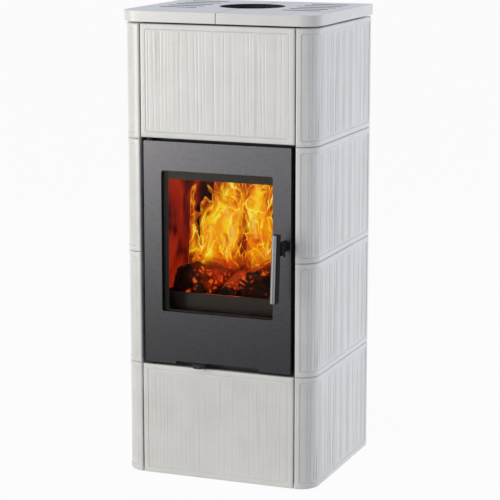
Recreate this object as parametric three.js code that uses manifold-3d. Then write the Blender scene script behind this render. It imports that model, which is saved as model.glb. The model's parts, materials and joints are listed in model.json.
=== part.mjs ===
// Tiled stove: a steel firebox on a base plate, cased in glazed ceramic tiles, with a glazed
// front door, two glazed top slabs and one air lever. Millimetres, +Z up, the door faces -Y.
import * as THREE from 'three';
import { mergeVertices } from 'three/addons/utils/BufferGeometryUtils.js';
import Module from 'manifold-3d';

// ---------- Driving dimensions ----------

const FIT = 0.3; // clearance between pieces that touch
const CUT = 2; // how far a cutting body runs past the face that it cuts

// Tiled casing
const STOVE_HEIGHT = 1100;
const CASING_WIDTH = 477; // over the side tiles
const CASING_DEPTH = 400; // from the front tiles to the back edge of the side tiles
const TILE_TIERS = 4;
const TILE_THICKNESS = 28;
const TILE_FLOOR_GAP = 2;
const TILE_SEAM = 0.8; // between one tier and the next
const TILE_END_GAP = 1.6; // between a front tile and the side tiles
const TILE_CORNER_RADIUS = 46; // the quarter round is also the tile's return on the front
const TILE_EDGE_ROUND = 2.5;
const PANEL_BORDER = 12.5; // plain raised border round the fluted panel
const PANEL_RECESS = 1.2;
const PANEL_CORNER_RADIUS = 6;
const BASE_LIP = 10; // thickness of the lip that hides the base plate

// Top slabs
const SLAB_THICKNESS = 24.5;
const SLAB_GAP = 3.5; // shadow gap between the tiles and the slabs
const SLAB_OVERHANG = 4;
const SLAB_JOINT = 1.6;
const SLAB_CORNER_RADIUS = 46;
const SLAB_BACK_RADIUS = 8;
const SLAB_EDGE_ROUND = 2.5;
const SLOT_COUNT = 5;
const SLOT_LENGTH = 96;
const SLOT_WIDTH = 14;
const SLOT_PITCH = 50;
const SLOT_SIDE_INSET = 88.5; // from a slab's outer side to the middle of its slots
const SLOT_CENTRE_Y = 42;

// Flue
const FLUE_BORE = 150;
const FLUE_COLLAR_WALL = 3;
const FLUE_COLLAR_HEIGHT = 26;
const FLUE_CENTRE_Y = 27;

// Base
const FOOT_DIAMETER = 36;
const FOOT_HEIGHT = 12;
const FOOT_SIDE_INSET = 68.5; // from the casing's side to a foot's middle
const FOOT_END_INSET = 65; // from the casing's front or back to a foot's middle
const BASE_THICKNESS = 4;
const BASE_VENT_WIDTH = 16;
const BASE_VENT_LENGTH = 220;

// Steel body
const CASING_AIR_GAP = 24.5; // from a side tile's inner face to the body's side plate
const BODY_BACK_GAP = 38; // from the body's rear face to the side tiles' back edges
const BODY_PLATE = 4;
const BODY_HEAD_GAP = 35.5; // from the body's side plates to the slabs
const FRONT_PLATE = 5;
const MOUTH_STILE = 32; // from the inner face of the body's side to the mouth
const MOUTH_SILL = 21; // from the door's bottom edge to the mouth
const MOUTH_HEAD = 31.5; // from the mouth to the door's top edge
const MOUTH_FLANGE_WALL = 5;
const MOUTH_FLANGE_DEPTH = 8;
const REAR_PANEL_THICKNESS = 2;
const REAR_PANEL_SIDE_GAP = 7.5;
const REAR_PANEL_BOTTOM = 34;
const REAR_PANEL_HEAD_GAP = 13.5; // from the rear panel to the slabs
const REAR_VENT_COUNT = 5;
const REAR_VENT_LENGTH = 90;
const REAR_VENT_HEIGHT = 9;
const REAR_VENT_PITCH = 22;
const REAR_VENT_CENTRE_X = 100;
const REAR_VENT_EDGE = 40; // from the panel's end to the first vent
const RAIL_SHEET = 3;
const RAIL_FOOT = 18;
const INLET_DIAMETER = 100;
const INLET_WALL = 2;
const INLET_CENTRE_Z = 120;
const INLET_STICK_OUT = 3; // past the rear panel

// Lining and hearth
const BRICK_THICKNESS = 30;
const BRICK_FRONT_SETBACK = 17; // from the front plate's back to the bricks
const HEARTH_RISE = 74; // from the mouth's bottom edge to the top of the hearth plate
const HEARTH_THICKNESS = 25;
const GRATE_WIDTH = 150;
const GRATE_DEPTH = 200;
const GRATE_THICKNESS = 14;
const GRATE_RIM = 12;
const GRATE_BARS = 7;
const GRATE_BAR_WIDTH = 9;
const GRATE_LEDGE = 8;
const BAFFLE_THICKNESS = 25;
const BAFFLE_FRONT_GAP = 85;
const LOG_GUARD_HEIGHT = 42;
const LOG_GUARD_THICKNESS = 7;
const LOG_GUARD_INSET = 9; // from the side of the mouth to the log guard
const ASH_PAN_INSET = 20; // from the side of the mouth to the ash pan
const ASH_PAN_DEPTH = 215;
const ASH_PAN_HEIGHT = 58;
const ASH_PAN_SHEET = 1.5;

// Air control
const LEVER_REST_X = -43;
const LEVER_SHEET = 3;
const LEVER_NECK_WIDTH = 22;
const LEVER_TAB_WIDTH = 34;
const LEVER_TIP_WIDTH = 22;
const LEVER_TAB_THICKNESS = 8;
const LEVER_TAB_REACH = 22; // past the door's face
const SLIDE_WIDTH = 160;
const SLIDE_DEPTH = 90;
const SLIDE_HOLES = 3;
const SLIDE_HOLE_DIAMETER = 24;
const SLIDE_HOLE_PITCH = 48;
const LEVER_SLOT_HALF = 106;
const RAIL_LEDGE = 10;

// Door
const DOOR_SIDE_GAP = 10; // from the door to the side tiles' returns
const DOOR_SILL_GAP = 6.3; // from the lowest front tile to the door
const DOOR_TOP_TIER = 3; // the tier whose top the door reaches
const DOOR_TOP_DROP = 3; // from that tier's end down to the door's top edge
const DOOR_DEPTH = 20;
const DOOR_FACE_SHEET = 4;
const DOOR_RIM_SHEET = 3;
const DOOR_CORNER_RADIUS = 3;
const DOOR_NOTCH_HALF = 104;
const DOOR_NOTCH_HEIGHT = 7;
const DOOR_HEAD_GAP = 7; // from the door to the front tile above it
const WINDOW_STILE = 44; // from the window to the door's side edge
const WINDOW_SILL = 124.5; // from the door's bottom edge to the window
const WINDOW_HEAD = 68; // from the window to the door's top edge
const WINDOW_RADIUS = 6;
const GLASS_OVERLAP = 13.5;
const GLASS_THICKNESS = 4;
const GLASS_FRAME_SHEET = 3;
const GLASS_FRAME_REVEAL = 2.5; // how far the frame's opening clears the window
const GLASS_STUD_DIAMETER = 8;
const SEAL_WIDTH = 10;
const SEAL_DEPTH = 7.8;

// Hinges
const HINGE_INSET = 10.5; // from the door's side edge to the hinge axis
const HINGE_DEPTH = 13; // behind the door's face
const HINGE_PIN_DIAMETER = 7;
const HINGE_PIN_LENGTH = 16;
const HINGE_TONGUE = 4;
const HINGE_TONGUE_WIDTH = 16;

// Handle, around its spindle
const HANDLE_INSET = 14.5; // from the door's side edge to the spindle
const HANDLE_RISE = 302; // from the door's bottom edge to the spindle
const SPINDLE_DIAMETER = 10;
const BOSS_DIAMETER = 25;
const BOSS_LENGTH = 12;
const NECK_WIDTH = 18;
const NECK_ROOT_HEIGHT = 21;
const NECK_HEAD_HEIGHT = 30;
const NECK_STEP = 25; // distance from the door's face at which the neck widens
const NECK_RAMP = 5;
const HANDLE_STAND_OFF = 44;
const HANDLE_LEAN = THREE.MathUtils.degToRad(4.5);
const GRIP_WIDTH = 13;
const GRIP_BODY_DEPTH = 22;
const GRIP_STRIP_DEPTH = 8;
const GRIP_EDGE_ROUND = 1.5;
const GRIP_ABOVE = 34; // grip above the spindle
const GRIP_BELOW = 122; // grip below the spindle
const PIN_DIAMETER = 4.5;
const PIN_LENGTH = 12;
const PIN_OFFSET_X = 6;
const PIN_STAND_OFF = 20;
const CAM_THICKNESS = 4;
const CAM_HUB = 18;
const CAM_TONGUE_WIDTH = 12;
const CAM_REACH = 16.5;
const KEEPER_THICKNESS = 5;
const KEEPER_HEIGHT = 30;
const KEEPER_DEPTH = 9;

// ---------- Finishes ----------

const GLAZE = { color: 0xd2d2ce, roughness: 0.25, metalness: 0 };
const ANTHRACITE = { color: 0x4a494b, roughness: 0.55, metalness: 0.3 };
const BLACK_STEEL = { color: 0x232325, roughness: 0.6, metalness: 0.3 };
const BRIGHT_STEEL = { color: 0xb4b4b5, roughness: 0.3, metalness: 1 };
const CAST_IRON = { color: 0x2c2b2a, roughness: 0.8, metalness: 0.4 };
const FIRECLAY = { color: 0xc9b58e, roughness: 0.95, metalness: 0 };
const CERAMIC_GLASS = { color: 0x3a3630, roughness: 0.05, metalness: 0, transparent: true, opacity: 0.35 };
const SEAL_ROPE = { color: 0x55524c, roughness: 1, metalness: 0 };

// ---------- Solid modelling ----------

const wasm = await Module();
wasm.setup();

const CORNER_STEPS = 6;
const ROUND_SIDES = 32;
const SMALL_SIDES = 16;
const QUARTER = Math.PI / 2;

function toSolid(geometry) {
  const bare = geometry.index ? geometry.toNonIndexed() : geometry.clone();
  bare.deleteAttribute('normal');
  bare.deleteAttribute('uv');
  const merged = mergeVertices(bare, 1e-4);
  const mesh = new wasm.Mesh({
    numProp: 3,
    vertProperties: Float32Array.from(merged.attributes.position.array),
    triVerts: Uint32Array.from(merged.index.array),
  });
  return new wasm.Manifold(mesh);
}

function toGeometry(solid) {
  const mesh = solid.getMesh();
  const geometry = new THREE.BufferGeometry();
  geometry.setAttribute('position', new THREE.BufferAttribute(mesh.vertProperties, 3));
  geometry.setIndex(new THREE.BufferAttribute(mesh.triVerts, 1));
  return geometry;
}

function block([x0, x1], [y0, y1], [z0, z1]) {
  const geometry = new THREE.BoxGeometry(x1 - x0, y1 - y0, z1 - z0);
  geometry.translate((x0 + x1) / 2, (y0 + y1) / 2, (z0 + z1) / 2);
  return toSolid(geometry);
}

// A prism along Z over a plan outline in X and Y.
function prismZ(shape, [z0, z1], round = 0) {
  const geometry = new THREE.ExtrudeGeometry(shape, {
    depth: z1 - z0 - 2 * round,
    bevelEnabled: round > 0,
    bevelThickness: round,
    bevelSize: round,
    bevelOffset: -round,
    bevelSegments: 1,
  });
  geometry.translate(0, 0, z0 + round);
  return toSolid(geometry);
}

// A prism along Y over a front outline whose shape coordinates are X and Z.
function prismY(shape, [y0, y1], round = 0) {
  return prismZ(shape, [-y1, -y0], round).rotate([90, 0, 0]);
}

// A prism along X over a side outline whose shape coordinates are Y and Z.
function prismX(shape, [x0, x1]) {
  return prismZ(shape, [x0, x1]).rotate([90, 0, 90]);
}

function polygon(points) {
  return new THREE.Shape(points.map(([x, y]) => new THREE.Vector2(x, y)));
}

function arc([x, y], radius, from, to, steps = CORNER_STEPS) {
  const points = [];
  for (let step = 0; step <= steps; step += 1) {
    const angle = from + ((to - from) * step) / steps;
    points.push([x + radius * Math.cos(angle), y + radius * Math.sin(angle)]);
  }
  return points;
}

function rectangle([x0, x1], [y0, y1]) {
  return polygon([[x0, y0], [x1, y0], [x1, y1], [x0, y1]]);
}

function roundedRectangle([x0, x1], [y0, y1], radius) {
  return polygon([
    ...arc([x1 - radius, y0 + radius], radius, -QUARTER, 0),
    ...arc([x1 - radius, y1 - radius], radius, 0, QUARTER),
    ...arc([x0 + radius, y1 - radius], radius, QUARTER, 2 * QUARTER),
    ...arc([x0 + radius, y0 + radius], radius, 2 * QUARTER, 3 * QUARTER),
  ]);
}

function rodZ([x, y], diameter, [z0, z1], sides = ROUND_SIDES) {
  const geometry = new THREE.CylinderGeometry(diameter / 2, diameter / 2, z1 - z0, sides);
  geometry.rotateX(QUARTER);
  geometry.translate(x, y, (z0 + z1) / 2);
  return toSolid(geometry);
}

function rodY([x, z], diameter, [y0, y1], sides = ROUND_SIDES) {
  const geometry = new THREE.CylinderGeometry(diameter / 2, diameter / 2, y1 - y0, sides);
  geometry.translate(x, (y0 + y1) / 2, z);
  return toSolid(geometry);
}

// A flat frame in X and Z with a rectangular opening.
function frameY(outerX, outerZ, innerX, innerZ, depth) {
  const cut = [depth[0] - CUT, depth[1] + CUT];
  return block(outerX, depth, outerZ).subtract(block(innerX, cut, innerZ));
}

function mirrored(solid) {
  return solid.mirror([1, 0, 0]);
}

function grown([low, high], by) {
  return [low - by, high + by];
}

function centred(width) {
  return [-width / 2, width / 2];
}

function piece(name, solid, finish) {
  const mesh = new THREE.Mesh(toGeometry(solid), new THREE.MeshStandardMaterial(finish));
  mesh.name = name;
  return mesh;
}

// ---------- Places worked out from the driving dimensions ----------

const SIDE_FACE = CASING_WIDTH / 2;
const FRONT_FACE = -CASING_DEPTH / 2;
const BACK_EDGE = CASING_DEPTH / 2;
const SLAB_BOTTOM = STOVE_HEIGHT - SLAB_THICKNESS;
const TIER_PITCH = (SLAB_BOTTOM - SLAB_GAP - TILE_FLOOR_GAP) / TILE_TIERS;
const TILE_HEIGHT = TIER_PITCH - TILE_SEAM;
const RETURN_EDGE = SIDE_FACE - TILE_CORNER_RADIUS;
const FRONT_TILE_HALF = RETURN_EDGE - TILE_END_GAP;
const TILE_INNER_X = SIDE_FACE - TILE_THICKNESS;
const SLOT_CENTRE_X = SIDE_FACE + SLAB_OVERHANG - SLOT_SIDE_INSET;
const TILE_INNER_Y = FRONT_FACE + TILE_THICKNESS;
const BASE_TOP = FOOT_HEIGHT + FIT + BASE_THICKNESS;
const STEEL_BOTTOM = BASE_TOP + FIT;
const STEEL_TOP = SLAB_BOTTOM - FIT;
const PLATE_FRONT = TILE_INNER_Y + FIT;
const PLATE_BACK = PLATE_FRONT + FRONT_PLATE;
const BODY_SIDE = TILE_INNER_X - CASING_AIR_GAP;
const BODY_INSIDE = BODY_SIDE - BODY_PLATE;
const BODY_BACK = BACK_EDGE - BODY_BACK_GAP;
const BODY_HEIGHT = SLAB_BOTTOM - BODY_HEAD_GAP;
const BODY_FRONT = PLATE_BACK + FIT;
const BODY_INNER_BACK = BODY_BACK - BODY_PLATE;
const REAR_PANEL_BACK = BACK_EDGE - FIT;
const REAR_PANEL_FRONT = REAR_PANEL_BACK - REAR_PANEL_THICKNESS;
const REAR_PANEL_WIDTH = 2 * (TILE_INNER_X - REAR_PANEL_SIDE_GAP);
const REAR_PANEL_TOP = SLAB_BOTTOM - REAR_PANEL_HEAD_GAP;
const DOOR_WIDTH = 2 * (RETURN_EDGE - DOOR_SIDE_GAP);
const DOOR_BOTTOM = TILE_FLOOR_GAP + TILE_HEIGHT + DOOR_SILL_GAP;
const DOOR_TOP = TILE_FLOOR_GAP + DOOR_TOP_TIER * TIER_PITCH - DOOR_TOP_DROP;
const DOOR_BACK = FRONT_FACE + DOOR_DEPTH;
const WINDOW_WIDTH = DOOR_WIDTH - 2 * WINDOW_STILE;
const WINDOW_BOTTOM = DOOR_BOTTOM + WINDOW_SILL;
const WINDOW_TOP = DOOR_TOP - WINDOW_HEAD;
const HINGE_X = HINGE_INSET - DOOR_WIDTH / 2;
const HANDLE_X = DOOR_WIDTH / 2 - HANDLE_INSET;
const HANDLE_Z = DOOR_BOTTOM + HANDLE_RISE;
const MOUTH_WIDTH = 2 * (BODY_INSIDE - MOUTH_STILE);
const MOUTH_BOTTOM = DOOR_BOTTOM + MOUTH_SILL;
const MOUTH_TOP = DOOR_TOP - MOUTH_HEAD;
const LINING_TOP = MOUTH_TOP;
const ASH_FLOOR_TOP = MOUTH_BOTTOM - BODY_PLATE;
const HEARTH_PLATE_TOP = MOUTH_BOTTOM + HEARTH_RISE;
const HEARTH_TOP = HEARTH_PLATE_TOP + HEARTH_THICKNESS;
const LOG_GUARD_WIDTH = MOUTH_WIDTH - 2 * LOG_GUARD_INSET;
const ASH_PAN_WIDTH = MOUTH_WIDTH - 2 * ASH_PAN_INSET;
const TOP_PLATE_TOP = BODY_HEIGHT + FIT + BODY_PLATE;

// ---------- Tiled casing ----------

const CORNER_CENTRE = [RETURN_EDGE, FRONT_FACE + TILE_CORNER_RADIUS];

// Plan of a right-hand side tile: a wall that wraps round the front corner.
function sideTilePlan() {
  return polygon([
    ...arc(CORNER_CENTRE, TILE_CORNER_RADIUS, -QUARTER, 0),
    [SIDE_FACE, BACK_EDGE],
    [TILE_INNER_X, BACK_EDGE],
    ...arc(CORNER_CENTRE, TILE_CORNER_RADIUS - TILE_THICKNESS, 0, -QUARTER),
  ]);
}

// Plan of the thin layer that is taken off a side tile inside its border.
function sidePanelPlan() {
  const start = PANEL_BORDER / TILE_CORNER_RADIUS - QUARTER;
  const end = BACK_EDGE - PANEL_BORDER;
  return polygon([
    ...arc(CORNER_CENTRE, TILE_CORNER_RADIUS + CUT, start, 0),
    [SIDE_FACE + CUT, end],
    [SIDE_FACE - PANEL_RECESS, end],
    ...arc(CORNER_CENTRE, TILE_CORNER_RADIUS - PANEL_RECESS, 0, start),
  ]);
}

function basePlan(inset) {
  const radius = TILE_CORNER_RADIUS - inset;
  const side = SIDE_FACE - inset;
  const front = FRONT_FACE + inset;
  return polygon([
    ...arc([side - radius, front + radius], radius, -QUARTER, 0),
    [side, REAR_PANEL_BACK],
    [-side, REAR_PANEL_BACK],
    ...arc([radius - side, front + radius], radius, 2 * QUARTER, 3 * QUARTER),
  ]);
}

// Room for the base plate, so that the lowest tiles stand on it and hide its edge.
function baseRebate() {
  return prismZ(basePlan(BASE_LIP), [-CUT, STEEL_BOTTOM]);
}

function sideTile() {
  const body = prismZ(sideTilePlan(), [0, TILE_HEIGHT], TILE_EDGE_ROUND);
  return body.subtract(prismZ(sidePanelPlan(), [PANEL_BORDER, TILE_HEIGHT - PANEL_BORDER]));
}

function frontTile(bottom, top) {
  const outline = rectangle(centred(2 * FRONT_TILE_HALF), [bottom, top]);
  const body = prismY(outline, [FRONT_FACE, TILE_INNER_Y], TILE_EDGE_ROUND);
  const panel = roundedRectangle(
    grown(centred(2 * FRONT_TILE_HALF), -PANEL_BORDER),
    grown([bottom, top], -PANEL_BORDER),
    PANEL_CORNER_RADIUS,
  );
  return body.subtract(prismY(panel, [FRONT_FACE - CUT, FRONT_FACE + PANEL_RECESS]));
}

function tileCasing() {
  const casing = new THREE.Group();
  const rebate = baseRebate();
  const plain = sideTile();
  const lowest = plain.subtract(rebate.translate([0, 0, -TILE_FLOOR_GAP]));
  for (let tier = 0; tier < TILE_TIERS; tier += 1) {
    const tile = tier === 0 ? lowest : plain;
    const right = piece(`side_tile_right_${tier + 1}`, tile, GLAZE);
    const left = piece(`side_tile_left_${tier + 1}`, mirrored(tile), GLAZE);
    right.position.z = TILE_FLOOR_GAP + tier * TIER_PITCH;
    left.position.z = right.position.z;
    casing.add(right, left);
  }
  const lowestFront = frontTile(TILE_FLOOR_GAP, TILE_FLOOR_GAP + TILE_HEIGHT).subtract(rebate);
  const upperFront = frontTile(DOOR_TOP + DOOR_HEAD_GAP, SLAB_BOTTOM - SLAB_GAP - TILE_SEAM);
  casing.add(piece('front_tile_bottom', lowestFront, GLAZE));
  casing.add(piece('front_tile_top', upperFront, GLAZE));
  return casing;
}

// ---------- Top slabs ----------

function slabPlan() {
  const side = SIDE_FACE + SLAB_OVERHANG;
  const front = FRONT_FACE - SLAB_OVERHANG;
  const back = BACK_EDGE + SLAB_OVERHANG;
  const joint = SLAB_JOINT / 2;
  return polygon([
    [joint, front],
    ...arc([side - SLAB_CORNER_RADIUS, front + SLAB_CORNER_RADIUS], SLAB_CORNER_RADIUS, -QUARTER, 0),
    ...arc([side - SLAB_BACK_RADIUS, back - SLAB_BACK_RADIUS], SLAB_BACK_RADIUS, 0, QUARTER),
    [joint, back],
  ]);
}

function slabSlot(index) {
  const y = SLOT_CENTRE_Y + (index - (SLOT_COUNT - 1) / 2) * SLOT_PITCH;
  const round = SLOT_WIDTH / 2;
  const run = SLOT_LENGTH / 2 - round;
  const slot = polygon([
    ...arc([SLOT_CENTRE_X + run, y], round, -QUARTER, QUARTER),
    ...arc([SLOT_CENTRE_X - run, y], round, QUARTER, 3 * QUARTER),
  ]);
  return prismZ(slot, [SLAB_BOTTOM - CUT, STOVE_HEIGHT + CUT]);
}

function topSlabs() {
  const bore = FLUE_BORE + 2 * FLUE_COLLAR_WALL;
  const hole = rodZ([0, FLUE_CENTRE_Y], bore, [SLAB_BOTTOM - CUT, STOVE_HEIGHT + CUT]);
  let slab = prismZ(slabPlan(), [SLAB_BOTTOM, STOVE_HEIGHT], SLAB_EDGE_ROUND).subtract(hole);
  for (let index = 0; index < SLOT_COUNT; index += 1) {
    slab = slab.subtract(slabSlot(index));
  }
  const slabs = new THREE.Group();
  slabs.add(piece('top_slab_right', slab, GLAZE));
  slabs.add(piece('top_slab_left', mirrored(slab), GLAZE));
  return slabs;
}

// ---------- Base and steel body ----------

function base() {
  const vent = (side) => {
    const x = side * (BODY_SIDE + FIT + BASE_VENT_WIDTH / 2 + 2);
    return block(grown([x, x], BASE_VENT_WIDTH / 2), centred(BASE_VENT_LENGTH), [0, BASE_TOP + CUT]);
  };
  const plate = prismZ(basePlan(BASE_LIP + FIT), [FOOT_HEIGHT + FIT, BASE_TOP]);
  const group = new THREE.Group();
  group.add(piece('base_plate', plate.subtract(vent(1)).subtract(vent(-1)), BLACK_STEEL));
  const foot = rodZ([0, 0], FOOT_DIAMETER, [0, FOOT_HEIGHT], SMALL_SIDES);
  for (const [name, x, y] of [
    ['foot_front_left', -1, -1],
    ['foot_front_right', 1, -1],
    ['foot_back_left', -1, 1],
    ['foot_back_right', 1, 1],
  ]) {
    const mesh = piece(name, foot, BLACK_STEEL);
    mesh.position.set(x * (SIDE_FACE - FOOT_SIDE_INSET), y * (BACK_EDGE - FOOT_END_INSET), 0);
    group.add(mesh);
  }
  return group;
}

function frontPlate() {
  const mouthX = centred(MOUTH_WIDTH);
  const mouthZ = [MOUTH_BOTTOM, MOUTH_TOP];
  const plateX = centred(2 * RETURN_EDGE);
  const plate = block(plateX, [PLATE_FRONT, PLATE_BACK], [STEEL_BOTTOM, STEEL_TOP]);
  const flangeX = grown(mouthX, MOUTH_FLANGE_WALL);
  const flangeZ = grown(mouthZ, MOUTH_FLANGE_WALL);
  const flange = block(flangeX, [PLATE_FRONT - MOUTH_FLANGE_DEPTH, PLATE_BACK], flangeZ);
  const mouth = block(mouthX, [PLATE_FRONT - MOUTH_FLANGE_DEPTH - CUT, PLATE_BACK + CUT], mouthZ);
  const slotZ = grown([LEVER_TOP - LEVER_SHEET, LEVER_TOP], 1);
  const slot = block(centred(2 * LEVER_SLOT_HALF), grown([PLATE_FRONT, PLATE_BACK], CUT), slotZ);
  return plate.add(flange).subtract(mouth).subtract(slot);
}

function flueHole(diameter, z) {
  return rodZ([0, FLUE_CENTRE_Y], diameter, z);
}

function body() {
  const group = new THREE.Group();
  const depth = [BODY_FRONT, BODY_INNER_BACK - FIT];
  const side = block([BODY_INSIDE, BODY_SIDE], depth, [STEEL_BOTTOM, BODY_HEIGHT]);
  group.add(piece('front_plate', frontPlate(), ANTHRACITE));
  group.add(piece('body_side_right', side, BLACK_STEEL));
  group.add(piece('body_side_left', mirrored(side), BLACK_STEEL));

  const inletY = grown([BODY_INNER_BACK, BODY_BACK], CUT);
  const inlet = rodY([0, INLET_CENTRE_Z], INLET_DIAMETER + 2 * FIT, inletY);
  const back = block(centred(2 * BODY_SIDE), [BODY_INNER_BACK, BODY_BACK], [STEEL_BOTTOM, BODY_HEIGHT]);
  group.add(piece('body_back', back.subtract(inlet), BLACK_STEEL));

  const topZ = [BODY_HEIGHT + FIT, TOP_PLATE_TOP];
  const top = block(centred(2 * BODY_SIDE), [BODY_FRONT, BODY_BACK], topZ);
  group.add(piece('body_top', top.subtract(flueHole(FLUE_BORE, grown(topZ, CUT))), BLACK_STEEL));

  const collarZ = [TOP_PLATE_TOP + FIT, TOP_PLATE_TOP + FIT + FLUE_COLLAR_HEIGHT];
  const collar = flueHole(FLUE_BORE + 2 * FLUE_COLLAR_WALL, collarZ);
  group.add(piece('flue_collar', collar.subtract(flueHole(FLUE_BORE, grown(collarZ, CUT))), CAST_IRON));
  return group;
}

// A rail's plan: a foot on the body's back, a web, a shelf behind the tiles and a lip along the tile.
function railPlan() {
  const shelfBack = REAR_PANEL_FRONT - FIT;
  const start = BODY_BACK + FIT;
  const tile = TILE_INNER_X - FIT;
  return polygon([
    [BODY_SIDE - RAIL_FOOT, start],
    [BODY_SIDE, start],
    [BODY_SIDE, shelfBack - RAIL_SHEET],
    [tile - RAIL_SHEET, shelfBack - RAIL_SHEET],
    [tile - RAIL_SHEET, start],
    [tile, start],
    [tile, shelfBack],
    [BODY_SIDE - RAIL_SHEET, shelfBack],
    [BODY_SIDE - RAIL_SHEET, start + RAIL_SHEET],
    [BODY_SIDE - RAIL_FOOT, start + RAIL_SHEET],
  ]);
}

function rearCasing() {
  const group = new THREE.Group();
  const rail = prismZ(railPlan(), [STEEL_BOTTOM, STEEL_TOP]);
  group.add(piece('tile_rail_right', rail, BLACK_STEEL));
  group.add(piece('tile_rail_left', mirrored(rail), BLACK_STEEL));

  const panelY = [REAR_PANEL_FRONT, REAR_PANEL_BACK];
  let panel = block(centred(REAR_PANEL_WIDTH), panelY, [REAR_PANEL_BOTTOM, REAR_PANEL_TOP]);
  const firstVent = REAR_PANEL_TOP - REAR_VENT_EDGE;
  for (let row = 0; row < REAR_VENT_COUNT; row += 1) {
    const z = firstVent - row * REAR_VENT_PITCH;
    for (const side of [-1, 1]) {
      const x = side * REAR_VENT_CENTRE_X;
      const ventX = grown([x, x], REAR_VENT_LENGTH / 2);
      panel = panel.subtract(block(ventX, grown(panelY, CUT), grown([z, z], REAR_VENT_HEIGHT / 2)));
    }
  }
  const hole = rodY([0, INLET_CENTRE_Z], INLET_DIAMETER + 2 * FIT, grown(panelY, CUT));
  group.add(piece('rear_panel', panel.subtract(hole), BLACK_STEEL));

  const pipeY = [BODY_INNER_BACK, REAR_PANEL_BACK + INLET_STICK_OUT];
  const pipe = rodY([0, INLET_CENTRE_Z], INLET_DIAMETER, pipeY);
  const bore = rodY([0, INLET_CENTRE_Z], INLET_DIAMETER - 2 * INLET_WALL, grown(pipeY, CUT));
  group.add(piece('air_inlet_pipe', pipe.subtract(bore), BLACK_STEEL));
  return group;
}

// ---------- Lining, hearth and ash pan ----------

const BRICK_FRONT = PLATE_BACK + BRICK_FRONT_SETBACK;
const BACK_BRICK_BACK = BODY_INNER_BACK - 2 * FIT;
const BACK_BRICK_FRONT = BACK_BRICK_BACK - BRICK_THICKNESS;
const SIDE_BRICK_OUTER = BODY_INSIDE - FIT;
const SIDE_BRICK_INNER = SIDE_BRICK_OUTER - BRICK_THICKNESS;
const HEARTH_PLATE_BOTTOM = HEARTH_PLATE_TOP - BODY_PLATE;
const BRICK_BOTTOM = HEARTH_PLATE_TOP + FIT;
const GRATE_CENTRE_Y = (BRICK_FRONT + BACK_BRICK_FRONT) / 2;

function firebox() {
  const group = new THREE.Group();
  const liningZ = [BRICK_BOTTOM, LINING_TOP];
  const sideY = [BRICK_FRONT, BACK_BRICK_FRONT - FIT];
  const side = block([SIDE_BRICK_INNER, SIDE_BRICK_OUTER], sideY, liningZ);
  const back = block(centred(2 * SIDE_BRICK_OUTER), [BACK_BRICK_FRONT, BACK_BRICK_BACK], liningZ);
  group.add(piece('firebrick_right', side, FIRECLAY));
  group.add(piece('firebrick_left', mirrored(side), FIRECLAY));
  group.add(piece('firebrick_back', back, FIRECLAY));

  const baffleZ = [LINING_TOP + FIT, LINING_TOP + FIT + BAFFLE_THICKNESS];
  const baffleY = [PLATE_BACK + BAFFLE_FRONT_GAP, BACK_BRICK_BACK];
  group.add(piece('baffle_plate', block(centred(2 * SIDE_BRICK_OUTER), baffleY, baffleZ), FIRECLAY));

  const grateX = centred(GRATE_WIDTH);
  const grateY = grown([GRATE_CENTRE_Y, GRATE_CENTRE_Y], GRATE_DEPTH / 2);
  const plate = block(
    centred(2 * SIDE_BRICK_OUTER),
    [BODY_FRONT, BODY_INNER_BACK - 2 * FIT],
    [HEARTH_PLATE_BOTTOM, HEARTH_PLATE_TOP],
  );
  const plateHole = block(
    grown(grateX, -GRATE_LEDGE),
    grown(grateY, -GRATE_LEDGE),
    grown([HEARTH_PLATE_BOTTOM, HEARTH_PLATE_TOP], CUT),
  );
  group.add(piece('hearth_plate', plate.subtract(plateHole), BLACK_STEEL));

  const hearthX = SIDE_BRICK_INNER - FIT;
  const hearthZ = [BRICK_BOTTOM, HEARTH_TOP];
  const sideHearth = block([GRATE_WIDTH / 2 + FIT, hearthX], sideY, hearthZ);
  const frontHearth = block(grateX, [sideY[0], grateY[0] - FIT], hearthZ);
  const backHearth = block(grateX, [grateY[1] + FIT, sideY[1]], hearthZ);
  group.add(piece('hearth_brick_right', sideHearth, FIRECLAY));
  group.add(piece('hearth_brick_left', mirrored(sideHearth), FIRECLAY));
  group.add(piece('hearth_brick_front', frontHearth, FIRECLAY));
  group.add(piece('hearth_brick_back', backHearth, FIRECLAY));
  group.add(piece('grate', grate(grateX, grateY), CAST_IRON));
  return group;
}

function grate(xRange, yRange) {
  const z = [BRICK_BOTTOM, BRICK_BOTTOM + GRATE_THICKNESS];
  const inside = grown(xRange, -GRATE_RIM);
  const pitch = (inside[1] - inside[0] + GRATE_BAR_WIDTH) / (GRATE_BARS + 1);
  let solid = block(xRange, yRange, z);
  for (let gap = 0; gap <= GRATE_BARS; gap += 1) {
    const start = inside[0] + gap * pitch;
    const gapX = [start, start + pitch - GRATE_BAR_WIDTH];
    solid = solid.subtract(block(gapX, grown(yRange, -GRATE_RIM), grown(z, CUT)));
  }
  return solid;
}

function logGuard() {
  const y = [BRICK_FRONT, BRICK_FRONT + LOG_GUARD_THICKNESS];
  const z = [HEARTH_TOP + FIT, HEARTH_TOP + FIT + LOG_GUARD_HEIGHT];
  return block(centred(LOG_GUARD_WIDTH), y, z);
}

function ashPan() {
  const y = [BRICK_FRONT, BRICK_FRONT + ASH_PAN_DEPTH];
  const z = [ASH_FLOOR_TOP + FIT, ASH_FLOOR_TOP + FIT + ASH_PAN_HEIGHT];
  const inside = block(
    grown(centred(ASH_PAN_WIDTH), -ASH_PAN_SHEET),
    grown(y, -ASH_PAN_SHEET),
    [z[0] + ASH_PAN_SHEET, z[1] + CUT],
  );
  return block(centred(ASH_PAN_WIDTH), y, z).subtract(inside);
}

function hearthFittings() {
  const group = new THREE.Group();
  group.add(piece('log_guard', logGuard(), CAST_IRON));
  group.add(piece('ash_pan', ashPan(), BLACK_STEEL));
  return group;
}

// ---------- Air control ----------

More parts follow.
